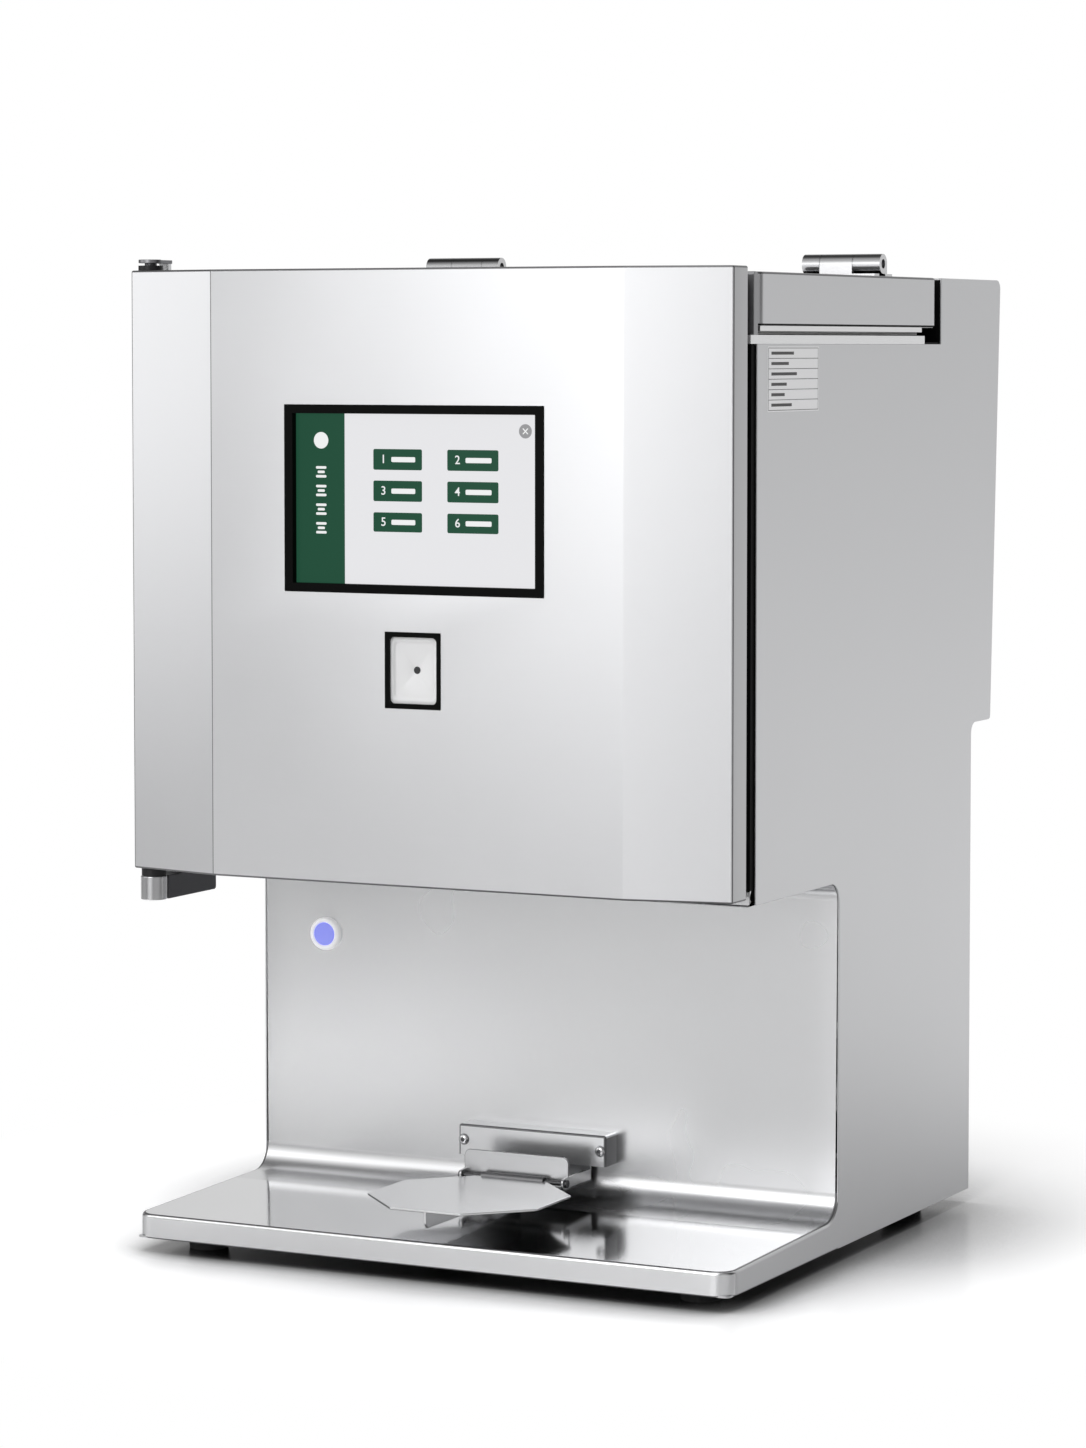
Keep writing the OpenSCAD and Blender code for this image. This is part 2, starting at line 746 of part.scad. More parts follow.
module pump_outline(front, back, low, top) difference() {
    block([pump_x - head_w / 2, front, low], [pump_x + head_w / 2, back, top]);
    children();
}

module pump_head() color("lightsteelblue")
    pump_outline(head_front, head_back, liner_z + liner_t, head_top) {
        rod_y(head_front - 1, pocket_back, pump_x, pump_z, loop_r + tube_r + fit_gap);
        block([pump_x - loop_r - tube_r - fit_gap, head_front - 1, pump_z],
              [pump_x + loop_r + tube_r + fit_gap, pocket_back, head_top + 1]);
        rod_y(pocket_back - 1, head_back + 1, pump_x, pump_z, shaft_r + 1);
    }

module pump_cover() color([0.8, 0.9, 0.95, 0.4])
    block([pump_x - head_w / 2, head_front - pump_cover_t, liner_z + liner_t + 6],
          [pump_x + head_w / 2, head_front, head_top]);

module pump_motor() color("dimgray") difference() {
    union() {
        block([pump_x - gear_w / 2, head_back, pump_z - gear_w / 2],
              [pump_x + gear_w / 2, head_back + gear_d, pump_z + gear_w / 2]);
        rod_y(head_back + gear_d - 1, head_back + gear_d + motor_l, pump_x, pump_z, motor_r);
        rod_y(head_back + gear_d, head_back + gear_d + motor_l + 5, pump_x, pump_z, motor_r / 3);
    }
    rod_y(head_back - 1, head_back + shaft_reach + 2, pump_x, pump_z, shaft_r + run_gap);
}

module pump_rotor() color("gray") {
    for (s = [-1, 1])
        rod_y(pump_y + s * (rotor_half - 1.5) - 1.5, pump_y + s * (rotor_half - 1.5) + 1.5,
              pump_x, pump_z, rotor_r);
    rod_y(pump_y - rotor_half, head_back + shaft_reach, pump_x, pump_z, shaft_r);
    for (i = [0 : 2])
        rod_y(pump_y - rotor_half + 1, pump_y + rotor_half - 1,
              pump_x + roller_orbit * cos(90 + 120 * i), pump_z + roller_orbit * sin(90 + 120 * i), axle_r);
}

module pump_roller(i) color(white)
    translate([pump_x + roller_orbit * cos(90 + 120 * i), 0, pump_z + roller_orbit * sin(90 + 120 * i)])
        difference() {
            rod_y(pump_y - rotor_half + 3.3, pump_y + rotor_half - 3.3, 0, 0, roller_r);
            rod_y(pump_y - rotor_half + 2, pump_y + rotor_half - 2, 0, 0, axle_r + run_gap);
        }

module pump_roller_1() pump_roller(0);
module pump_roller_2() pump_roller(1);
module pump_roller_3() pump_roller(2);

// The tube path at radius r: down into the pump, round its rotor, over an arch, down to the nozzle.
module tube_path(r, more) {
    rod_z(pump_z, spout_z + more, inlet_tube_x, pump_y, r);
    translate([pump_x, pump_y, pump_z]) rotate([90, 0, 0]) rotate([0, 0, 180])
        rotate_extrude(angle = 180) translate([loop_r, 0]) circle(r);
    rod_z(pump_z, arch_z, pump_x - loop_r, pump_y, r);
    translate([arch_x, pump_y, arch_z]) rotate([90, 0, 0])
        rotate_extrude(angle = 180) translate([arch_r, 0]) circle(r);
    rod_z(nozzle_neck - more, arch_z, 0, pump_y, r);
}

module pump_tube() color([0.93, 0.93, 0.9]) difference() {
    tube_path(tube_r, 0);
    tube_path(tube_bore, 1);
}

module nozzle() color(bright) difference() {
    union() {
        rod_z(ceiling_z - nozzle_out, nozzle_neck, 0, nozzle_y, nozzle_r);
        rod_z(nozzle_flange_z, nozzle_neck, 0, nozzle_y, nozzle_r + 7);
        rod_z(nozzle_neck - 1, nozzle_neck + 18, 0, nozzle_y, barb_r);
    }
    rod_z(ceiling_z - nozzle_out - 1, ceiling_z + 10, 0, nozzle_y, nozzle_bore);
    rod_z(ceiling_z, nozzle_neck + 19, 0, nozzle_y, 3.5);
}

// Cooling

// A round pipe through the given points, with round elbows.
module pipe_run(path, r) {
    for (i = [0 : len(path) - 2]) {
        d = path[i + 1] - path[i];
        l = norm(d);
        translate(path[i]) rotate([0, acos(d[2] / l), atan2(d[1], d[0])]) cylinder(h = l, r = r);
    }
    if (len(path) > 2) for (i = [1 : len(path) - 2]) translate(path[i]) sphere(r);
}

module evaporator() color("lightgray") {
    block([-evap_w / 2, evap_y - evap_t, evap_z], [evap_w / 2, evap_y, evap_z + evap_h]);
    for (i = [0 : evap_passes - 1])
        rod_x(-pipe_x, pipe_x, pipe_y, low_pass_z + i * pass_gap, pipe_r);
    for (i = [0 : evap_passes - 2])
        translate([i % 2 == 0 ? pipe_x : -pipe_x, pipe_y, low_pass_z + (i + 0.5) * pass_gap])
            rotate([90, i % 2 == 0 ? 90 : -90, 0])
                rotate_extrude(angle = 180) translate([pass_gap / 2, 0]) circle(pipe_r);
    for (z = [low_pass_z, high_pass_z]) {
        translate([-pipe_x, pipe_y, z]) sphere(pipe_r);
        rod_y(pipe_y, evap_y, -pipe_x, z, pipe_r);
    }
}

// The suction line, the liquid line and the hot line.
module refrigerant_pipes() color("peru") {
    pipe_run([[-pipe_x, evap_y, high_pass_z], [-pipe_x, suction_y, high_pass_z],
              [-pipe_x, suction_y, suction_z], [-pipe_x, comp_y, suction_z],
              [-pipe_x, comp_y, dome_z]], pipe_r);
    pipe_run([[-pipe_x, evap_y, low_pass_z], [-pipe_x, liquid_y, low_pass_z],
              [-pipe_x, liquid_y, line_z], [liquid_x, liquid_y, line_z],
              [liquid_x, cond_mid_y, line_z], [liquid_x, cond_mid_y, cond_top]], pipe_r);
    pipe_run([[hot_x, comp_y, dome_z], [hot_x, comp_y, line_z],
              [cond_x, comp_y, line_z], [cond_x, cond_mid_y, line_z],
              [cond_x, cond_mid_y, cond_top]], pipe_r);
}

module compressor() color([0.1, 0.1, 0.1]) difference() {
    translate([comp_x, comp_y, 0]) {
        rod_z(comp_z, dome_z, 0, 0, comp_r);
        intersection() {
            translate([0, 0, dome_z]) scale([1, 1, comp_dome / comp_r]) sphere(comp_r);
            rod_z(dome_z - 1, comp_top + 1, 0, 0, comp_r + 1);
        }
        block([-comp_r - comp_foot_out, -comp_foot_w / 2, comp_z - comp_foot_t + 1],
              [comp_r + comp_foot_out, comp_foot_w / 2, comp_z + 1]);
        both() for (y = [-1, 1])
            rod_z(base_z + sheet_t, comp_z, comp_r + comp_foot_out - comp_feet_r - 2,
                  y * (comp_foot_w / 2 - comp_feet_r - 2), comp_feet_r);
    }
    for (x = [-pipe_x, hot_x]) rod_z(dome_z, comp_top + 1, x, comp_y, pipe_r);
}

module condenser() color("darkgray") {
    x0 = cond_x - cond_w / 2;
    x1 = cond_x + cond_w / 2;
    fin_gap = (cond_w - 2 * cond_plate_t) / (cond_fins + 1);
    for (i = [1 : cond_fins])
        translate([x0 + cond_plate_t + i * fin_gap - fin_t / 2, cond_y, cond_z])
            cube([fin_t, cond_d, cond_h]);
    for (x = [x0, x1 - cond_plate_t])
        block([x, cond_y, base_z + sheet_t], [x + cond_plate_t, cond_y + cond_d, cond_top]);
    for (z = [cond_z, cond_top - cond_plate_t])
        block([x0, cond_y, z], [x1, cond_y + cond_d, z + cond_plate_t]);
    for (row = [1 : 5]) for (share = [0.3, 0.7])
        rod_x(x0, x1, cond_y + share * cond_d, cond_z + row * cond_h / 6, pipe_r);
}

module fan_frame() color(black) difference() {
    union() {
        difference() {
            block([cond_x - fan_box / 2, fan_y, fan_z - fan_box / 2],
                  [cond_x + fan_box / 2, cond_y, fan_z + fan_box / 2]);
            rod_y(fan_y - 1, cond_y + 1, cond_x, fan_z, fan_r + fan_tip_gap);
        }
        rod_y(fan_y, fan_y + fan_seat_l, cond_x, fan_z, fan_seat_r);
        for (a = [45 : 90 : 315])
            translate([cond_x, fan_y, fan_z]) rotate([0, a, 0]) translate([-spoke_w / 2, 0, 0])
                cube([spoke_w, spoke_t, fan_r + fan_tip_gap + 3]);
    }
    rod_y(fan_y + 2, fan_hub_y, cond_x, fan_z, fan_shaft_r + run_gap);
}

module fan_rotor() color([0.12, 0.12, 0.13]) {
    rod_y(fan_hub_y, fan_hub_y + fan_hub_l, cond_x, fan_z, fan_hub_r);
    rod_y(fan_y + 3, fan_hub_y + 1, cond_x, fan_z, fan_shaft_r);
    intersection() {
        union() {
            for (i = [0 : fan_blades - 1])
                translate([cond_x, fan_hub_y + fan_hub_l / 2, fan_z]) rotate([0, i * 360 / fan_blades, 0])
                    translate([0, 0, fan_hub_r - 2]) rotate([0, 0, blade_pitch])
                        translate([-blade_w / 2, -blade_t / 2, 0]) cube([blade_w, blade_t, fan_r]);
        }
        rod_y(fan_hub_y - 1, fan_hub_y + fan_hub_l + 1, cond_x, fan_z, fan_r);
    }
}

// Electrics

supply_w = 78;
supply_h = 164;
supply_d = 46;
supply_up = 236;
supply_gap = 14.5;
board_x = 30;
board_up = 210;
board_w = 190;
board_h = 150;
board_t = 2;
board_out = 10;
post_in = 8;
post_r = 4;
chip_t = 8;
relay_t = 26;
plug_row_t = 20;

module power_supply() color("lightslategray") {
    right = -pipe_x - pipe_r - supply_gap;
    block([right - supply_w, box_d + sheet_t, foam_z + supply_up],
          [right, box_d + sheet_t + supply_d, foam_z + supply_up + supply_h]);
}

// A board on four posts, with a chip, a row of plugs, a relay and two capacitors.
module control_board() color("darkgreen") {
    y = box_d + sheet_t + board_out;
    z = foam_z + board_up;
    block([board_x, y, z], [board_x + board_w, y + board_t, z + board_h]);
    for (px = [post_in, board_w - post_in]) for (pz = [post_in, board_h - post_in])
        rod_y(box_d + sheet_t, y + 1, board_x + px, z + pz, post_r);
    block([board_x + board_w * 0.16, y + 1, z + board_h * 0.27],
          [board_x + board_w * 0.37, y + chip_t, z + board_h * 0.54]);
    block([board_x + board_w * 0.47, y + 1, z + board_h * 0.13],
          [board_x + board_w * 0.9, y + plug_row_t, z + board_h * 0.3]);
    block([board_x + board_w * 0.47, y + 1, z + board_h * 0.47],
          [board_x + board_w * 0.68, y + relay_t, z + board_h * 0.87]);
    for (share = [0.76, 0.88])
        rod_y(y + 1, y + relay_t, board_x + board_w * share, z + board_h * 0.67, board_w * 0.042);
}

inlet_body_d = 30;
socket_w = 27;
socket_h = 20;
socket_d = 14;
socket_down = 15;
contact_gap = 7;
contact_w = 2;
contact_h = 7;
contact_down = 2;
rocker_w = 24;
rocker_h = 13;
rocker_back = 6;
rocker_out = 7.5;
rocker_hole_w = rocker_w + 2;
rocker_hole_h = rocker_h + 7;
rocker_hole_d = 16;
rocker_pin_l = rocker_w + 5.2;

// A flanged mains inlet: a socket with three contacts below, the hole of a rocker switch above.
module mains_inlet() color(black) translate([-inlet_x, column_back, inlet_z]) difference() {
    body_w = inlet_w - 2 * inlet_lip - 2 * fit_gap;
    body_h = inlet_h - 2 * inlet_lip - 2 * fit_gap;
    union() {
        block([-inlet_w / 2, 0, -inlet_h / 2], [inlet_w / 2, inlet_lip, inlet_h / 2]);
        block([-body_w / 2, -inlet_body_d, -body_h / 2], [body_w / 2, 1, body_h / 2]);
    }
    difference() {
        block([-socket_w / 2, -socket_d, -socket_down - socket_h / 2],
              [socket_w / 2, inlet_lip + 1, -socket_down + socket_h / 2]);
        for (i = [-1 : 1])
            translate([i * contact_gap, 0, -socket_down + (i == 0 ? -2 : 0)])
                block([-contact_w / 2, -socket_d - 1, -contact_down],
                      [contact_w / 2, 0, contact_h - contact_down]);
    }
    block([-rocker_hole_w / 2, -rocker_hole_d, switch_up - rocker_hole_h / 2],
          [rocker_hole_w / 2, inlet_lip + 1, switch_up + rocker_hole_h / 2]);
    rod_x(-rocker_pin_l / 2 - rest_gap, rocker_pin_l / 2 + rest_gap, -switch_in, switch_up,
          switch_pin_r + run_gap);
}

module mains_switch() color("dimgray") translate([-inlet_x, switch_y, switch_z]) {
    rotate([-switch_tilt, 0, 0])
        block([-rocker_w / 2, -rocker_back, -rocker_h / 2], [rocker_w / 2, rocker_out, rocker_h / 2]);
    rod_x(-rocker_pin_l / 2, rocker_pin_l / 2, 0, 0, switch_pin_r);
}

// Door hinges

module lower_hinge_bracket() color(bright) difference() {
    union() {
        rod_z(bracket_z, bracket_top, hinge_x, hinge_y, barrel_r);
        block([hinge_x - barrel_r, hinge_y, bracket_z], [hinge_x + barrel_r, bracket_d, bracket_top]);
        block([hinge_x - barrel_r, 6, bracket_top - 1], [hinge_x + barrel_r, bracket_d, ceiling_z]);
    }
    rod_z(bracket_z + 3, bracket_top + 1, hinge_x, hinge_y, door_pin_r + run_gap);
}

module upper_hinge_plate() color(bright) difference() {
    union() {
        rod_z(hinge_plate_z, hinge_plate_z + plate_t, hinge_x, hinge_y, barrel_r - 1);
        block([hinge_x - barrel_r + 1, hinge_y, hinge_plate_z],
              [hinge_x - barrel_r + 1 + plate_neck, rail_back - 0.2, hinge_plate_z + plate_t]);
        block([hinge_x - barrel_r + 1, -frame_t + 1, top_z],
              [hinge_x - barrel_r + 1 + plate_neck, rail_back - 0.2, hinge_plate_z + 1]);
    }
    rod_z(hinge_plate_z - 1, hinge_plate_z + plate_t + 1, hinge_x, hinge_y, door_pin_r + run_gap);
}

// The pins of both door hinges, of both lid hinges and of the cup rest.
module hinge_pins() color("lightgray") {
    rod_z(bracket_z + 3, door_z + bush_d - 2, hinge_x, hinge_y, door_pin_r);
    rod_z(door_top - bush_d + 2, hinge_plate_z + plate_t, hinge_x, hinge_y, door_pin_r);
    both() rod_x(lid_hinge_x - lid_hinge_l / 2 + 1.5, lid_hinge_x + lid_hinge_l / 2 - 1.5,
                 lid_axis_y, lid_axis_z, lid_pin_r);
    rod_x(-carrier_w / 2 - 0.3, carrier_w / 2 + 0.3, fold_y, fold_z, fold_pin_r);
    both() rod_x(carrier_w / 2 + 0.3, carrier_w / 2 + 2, fold_y, fold_z, fold_pin_r + 1.3);
}

// Flanged bushes in the lower and the upper door edge. Their flanges carry the door.
module door_bushes() color(black) difference() {
    union() {
        rod_z(door_z - washer_h, door_z, hinge_x, hinge_y, bush_flange_r);
        rod_z(door_z - 1, door_z + bush_d, hinge_x, hinge_y, bush_r);
        rod_z(door_top, door_top + plate_gap - rest_gap, hinge_x, hinge_y, bush_flange_r);
        rod_z(door_top - bush_d, door_top + 1, hinge_x, hinge_y, bush_r);
    }
    rod_z(door_z - washer_h - 1, door_z + bush_d + 1, hinge_x, hinge_y, door_pin_r + run_gap);
    rod_z(door_top - bush_d - 1, door_top + plate_gap, hinge_x, hinge_y, door_pin_r + run_gap);
}

// Door

// The door seen from above, drawn in by s, with its open back at y.
function door_plan(s, y) =
    let (edge = door_edge - s * tan(bevel_a) + s / cos(bevel_a),
         x = w2 - bevel_w - s * tan(bevel_a / 2))
    [[w2 - s, y], [w2 - s, edge], [x, door_face + s], [-x, door_face + s], [-w2 + s, edge], [-w2 + s, y]];

module door_skin() color(steel) difference() {
    plan(door_z, door_top) polygon(door_plan(0, door_back));
    plan(door_z + sheet_t, door_top - sheet_t) polygon(door_plan(sheet_t, door_back + 1));
    facing(door_face - 1, door_face + sheet_t + 1) {
        rect([0, screen_z], screen_w - 2 * frame_lip, screen_h - 2 * frame_lip);
        rect([0, scan_z], scan_w - 2 * frame_lip, scan_h - 2 * frame_lip);
    }
    rod_z(door_z - 1, door_top + 1, hinge_x, hinge_y, bush_r);
}

module door_foam() color("khaki") difference() {
    plan(door_z + sheet_t, door_top - sheet_t) polygon(door_plan(sheet_t, door_back - door_liner_t));
    facing(door_face, door_face + bezel_d + 8) rect([0, screen_z], screen_w, screen_h);
    facing(door_face, door_face + bezel_d + 8) rect([0, scan_z], scan_w, scan_h);
    rod_z(door_z, door_z + bush_d + 2, hinge_x, hinge_y, bush_r + fit_gap);
    rod_z(door_top - bush_d - 2, door_top, hinge_x, hinge_y, bush_r + fit_gap);
}

door_plug_in = 60;
door_plug_d = 6;

module door_liner() color(white) {
    block([-in_w2 + fit_gap, door_back - door_liner_t, door_z + sheet_t + fit_gap],
          [in_w2 - fit_gap, door_back, door_top - sheet_t - fit_gap]);
    facing(door_back - 1, door_back + door_plug_d)
        polygon(soft_rect([0, (door_z + door_top) / 2], machine_w - 2 * door_plug_in,
                          door_top - door_z - 2 * door_plug_in, 14));
}

module door_gasket() color(black) facing(door_back, -frame_t - rest_gap) difference() {
    polygon(soft_rect([0, (door_z + door_top) / 2], machine_w - 2 * door_gasket_in,
                      door_top - door_z - 2 * door_gasket_in, 5));
    polygon(soft_rect([0, (door_z + door_top) / 2], machine_w - 2 * door_gasket_in - 2 * door_gasket_w,
                      door_top - door_z - 2 * door_gasket_in - 2 * door_gasket_w, 3));
}

frame_seat = frame_lip + fit_gap;
panel_over_x = 3.5;
panel_over_z = 2.7;
panel_back = 7;
panel_w = view_w + 2 * panel_over_x;
panel_h = view_h + 2 * panel_over_z;

module screen_frame() color(black) difference() {
    union() {
        facing(door_face - frame_proud, door_face) rect([0, screen_z], screen_w, screen_h);
        facing(door_face - 0.1, door_face + bezel_d)
            rect([0, screen_z], screen_w - 2 * frame_seat, screen_h - 2 * frame_seat);
    }
    facing(door_face - frame_proud - 1, door_face + bezel_d + 1) rect([0, screen_z], view_w, view_h);
    facing(door_face + screen_recess, door_face + bezel_d + 1)
        rect([0, screen_z], panel_w + 2 * fit_gap, panel_h + 2 * fit_gap);
}

module screen_panel() color([0.9, 0.92, 0.93])
    facing(door_face + screen_recess, door_face + bezel_d + panel_back) rect([0, screen_z], panel_w, panel_h);

scan_border_x = 3.65;
scan_border_z = 4.05;
scan_view_w = scan_w - 2 * scan_border_x;
scan_view_h = scan_h - 2 * scan_border_z;

module scanner_frame() color(black) difference() {
    union() {
        facing(door_face - frame_proud, door_face) rect([0, scan_z], scan_w, scan_h);
        facing(door_face - 0.1, door_face + bezel_d)
            rect([0, scan_z], scan_w - 2 * frame_seat, scan_h - 2 * frame_seat);
    }
    facing(door_face - frame_proud - 1, door_face + scan_recess + 1)
        polygon(soft_rect([0, scan_z], scan_view_w, scan_view_h, scan_corner_r));
    facing(door_face + scan_recess, door_face + bezel_d + 1)
        rect([0, scan_z], scan_view_w + 1 + 2 * fit_gap, scan_view_h + 1 + 2 * fit_gap);
}

scan_corner_r = 4;
lens_r = 3;
lens_d = 10;
lens_out = 0.8;
lens_back = door_face + lens_d;

scan_rim = 4.5;
scan_step = 3;
lens_well_w = 18;
lens_well_d = 6;

module scanner_window() color(white) difference() {
    facing(door_face + scan_recess, door_face + bezel_d + panel_back)
        rect([0, scan_z], scan_view_w + 1, scan_view_h + 1);
    facing(door_face, door_face + scan_recess + scan_step)
        polygon(soft_rect([0, scan_z], scan_view_w - 2 * scan_rim, scan_view_h - 2 * scan_rim,
                          scan_corner_r));
    facing(door_face, door_face + scan_recess + lens_well_d)
        polygon(soft_rect([0, scan_z], lens_well_w, lens_well_w, scan_corner_r));
    rod_y(door_face, lens_back, 0, scan_z, lens_r);
}

module scanner_lens() color(black)
    rod_y(door_face + scan_recess + lens_well_d - lens_out, lens_back, 0, scan_z, lens_r);

// Lid

// The lid seen from above, drawn in by s.
function lid_plan(s) = soft_rect([0, (lid_front + lid_back) / 2], machine_w - 2 * s,
                                 lid_back - lid_front - 2 * s, lid_corner_r - s);

module lid_skin() color(steel) difference() {
    plan(lid_z, top_z) polygon(lid_plan(0));
    plan(lid_z - 1, top_z - lid_t) polygon(lid_plan(lid_t));
}

// The plate under the lid, the core that fills the lid and the plug over the tank.
module lid_liner() color(bright) {
    plan(lid_z - 0.1, top_z - lid_t) polygon(lid_plan(lid_t));
    block([-w2 + 2, lid_plate_y, lid_plate_z], [w2 - 2, rim_back - 2, lid_z]);
    block([-tank_x + plug_in, tank_front + plug_in, lid_plate_z - plug_d],
          [tank_x - plug_in, tank_back - plug_in, lid_plate_z + 1]);
}

module lid_gasket() color("whitesmoke") difference() {
    block([-lid_gasket_out, lid_plate_y + 0.5, rim_top + rest_gap],
          [lid_gasket_out, rim_back - 3, lid_plate_z]);
    block([-lid_gasket_out + lid_gasket_w, lid_plate_y + 6, rim_top],
          [lid_gasket_out - lid_gasket_w, rim_back - 15, lid_plate_z + 1]);
}

// One lid hinge about its axis: knuckles from x0 to x1, joined to a leaf on side s.
module knuckle(x0, x1, s) {
    rod_x(x0, x1, lid_axis_y, lid_axis_z, knuckle_r);
    along_x(x0, x1)
        polygon([[lid_axis_y, lid_axis_z], [lid_axis_y + s * knuckle_r, lid_axis_z],
                 [lid_axis_y + s * knuckle_r, top_z], [lid_axis_y + s * (lid_back_gap / 2 + 0.2), top_z],
                 [lid_axis_y + s * 4, top_z + leaf_t], [lid_axis_y, top_z + leaf_t]]);
}

module lid_hinge_leaves() color(bright) both() difference() {
    union() {
        knuckle(knuckle_x0, knuckle_x1, -1);
        block([lid_hinge_x - lid_hinge_l / 2, lid_axis_y - leaf_reach, top_z],
              [lid_hinge_x + lid_hinge_l / 2, lid_axis_y - knuckle_r - 0.6, top_z + leaf_t]);
        block([knuckle_x0, lid_axis_y - knuckle_r - 1, top_z],
              [knuckle_x1, lid_axis_y - knuckle_r + 1, top_z + leaf_t]);
    }
    rod_x(lid_hinge_x - lid_hinge_l, lid_hinge_x + lid_hinge_l, lid_axis_y, lid_axis_z, lid_pin_r + run_gap);
}

module lid_hinge_bases() color(bright) both() difference() {
    union() {
        knuckle(lid_hinge_x - lid_hinge_l / 2, knuckle_x0 - knuckle_gap, 1);
        knuckle(knuckle_x1 + knuckle_gap, lid_hinge_x + lid_hinge_l / 2, 1);
        block([lid_hinge_x - lid_hinge_l / 2, lid_axis_y + knuckle_r - 0.5, top_z],
              [lid_hinge_x + lid_hinge_l / 2, lid_axis_y + leaf_reach, top_z + leaf_t]);
    }
    rod_x(lid_hinge_x - lid_hinge_l, lid_hinge_x + lid_hinge_l, lid_axis_y, lid_axis_z, lid_pin_r + run_gap);
}

// Start button

module button_body() color(white) difference() {
    union() {
        rod_y(bay_d - bezel_out, bay_d, -button_x, button_z, bezel_r);
        rod_y(bay_d - 1, bay_d + button_l, -button_x, button_z, button_barrel_r);
    }
    rod_y(bay_d - bezel_out - 1, bay_d + 6, -button_x, button_z, cap_r + slide_gap);
    rod_y(bay_d + 5, bay_d + button_l - 6, -button_x, button_z, stem_r + slide_gap);
}

module button_cap() color("royalblue") {
    rod_y(bay_d - bezel_out - 0.6, bay_d + 6 - button_travel - rest_gap, -button_x, button_z, cap_r);
    rod_y(bay_d, bay_d + button_l - 6 - button_travel - rest_gap, -button_x, button_z, stem_r);
}

module button_nut() color("dimgray") difference() {
    rod_y(bay_d + sheet_t, bay_d + sheet_t + 5, -button_x, button_z, button_barrel_r + 4);
    rod_y(bay_d, bay_d + sheet_t + 6, -button_x, button_z, button_barrel_r + run_gap);
}

// Cup rest

module cup_cover() color(steel) difference() {
    block([-cover_w / 2, cover_y, cover_z], [cover_w / 2, bay_d, cover_z + cover_h]);
    block([-cover_w / 2 + sheet_t, cover_y + sheet_t, cover_z - 1],
          [cover_w / 2 - sheet_t, bay_d + 1, cover_z + cover_h - sheet_t]);
    both() rod_y(cover_y - 1, cover_y + sheet_t + 1, screw_x, screw_z, screw_r + fit_gap);
}

module cover_screws() color("lightgray") both() difference() {
    union() {
        rod_y(cover_y - screw_head_h, cover_y, screw_x, screw_z, screw_head_r);
        rod_y(cover_y - 1, bay_d + sheet_t + 5, screw_x, screw_z, screw_r);
    }
    translate([screw_x, cover_y - screw_head_h + hex_d, screw_z]) rotate([90, 0, 0])
        cylinder(h = screw_head_h, r = hex_r, $fn = 6);
}

// A bar that bends with the weight: its left end stands on the column, its right end holds the carrier.
module weigh_bar() color("lightgray") {
    cell_x = -cover_w / 2 + 11;
    cell_back = carrier_back - sheet_t;
    cell_z = cover_z + 5;
    block([cell_x, cover_y + sheet_t + 0.5, cell_z], [cell_x + cell_l, cell_back - 1, cell_z + cell_h]);
    block([cell_x, cell_back - 2, cell_z], [-carrier_w / 2 - 1, bay_d, cell_z + cell_h]);
    block([cell_x + cell_l - cell_end, cell_back - 2, cell_z], [cell_x + cell_l, cell_back, cell_z + cell_h]);
}

module cup_carrier() color(bright) difference() {
    union() {
        across(carrier_w)
            polygon([[upstand_y, carrier_z - sheet_t], [carrier_back, carrier_z - sheet_t],
                     [carrier_back, cover_z + cover_h - 5], [carrier_back - sheet_t, cover_z + cover_h - 5],
                     [carrier_back - sheet_t, carrier_z], [upstand_y + sheet_t, carrier_z],
                     [upstand_y + sheet_t, oct_top + upstand_h], [upstand_y, oct_top + upstand_h]]);
        both() along_x(ear_x, ear_x + ear_t)
            polygon([[fold_y - fold_r - 1, fold_z - fold_r], [upstand_y, carrier_z - sheet_t],
                     [carrier_back, carrier_z - sheet_t], [carrier_back, oct_top + cheek_up],
                     [upstand_y, oct_top + cheek_up], [fold_y - fold_r - 1, fold_z + fold_r]]);
    }
    rod_x(-carrier_w, carrier_w, fold_y, fold_z, fold_pin_r + run_gap);
    both() translate([carrier_w / 2, upstand_y - 1, oct_top + upstand_h])
        rotate([-90, 0, 0]) cylinder(h = sheet_t + 2, r = 5, $fn = 4);
}

oct_side = oct_w / (1 + sqrt(2));
tail_l = 11;

module cup_plate() color(bright) difference() {
    union() {
        translate([0, oct_y, oct_z]) rotate([0, 0, 22.5])
            cylinder(h = oct_t, r = oct_side / 2 / sin(22.5), $fn = 8);
        block([-oct_side / 2 + 3, oct_y + oct_w / 2 - 1, oct_z], [oct_side / 2 - 3, fold_y, oct_top]);
        rod_x(-oct_side / 2 + 3, oct_side / 2 - 3, fold_y, fold_z, fold_r);
        along_x(-1, 1)
            polygon([[oct_y - oct_w / 2, oct_z + 0.5], [fold_y, oct_z + 0.5],
                     [fold_y + 2, carrier_z - sheet_t - rest_gap],
                     [fold_y + tail_l, carrier_z - sheet_t - rest_gap],
                     [fold_y + tail_l, carrier_z - sheet_t - 5], [fold_y + tail_l - 6, oct_z - rib_h],
                     [oct_y - oct_w / 2 + 4, oct_z - rib_h], [oct_y - oct_w / 2, oct_z - rib_h + 4]]);
    }
    rod_x(-carrier_w, carrier_w, fold_y, fold_z, fold_pin_r + run_gap);
}

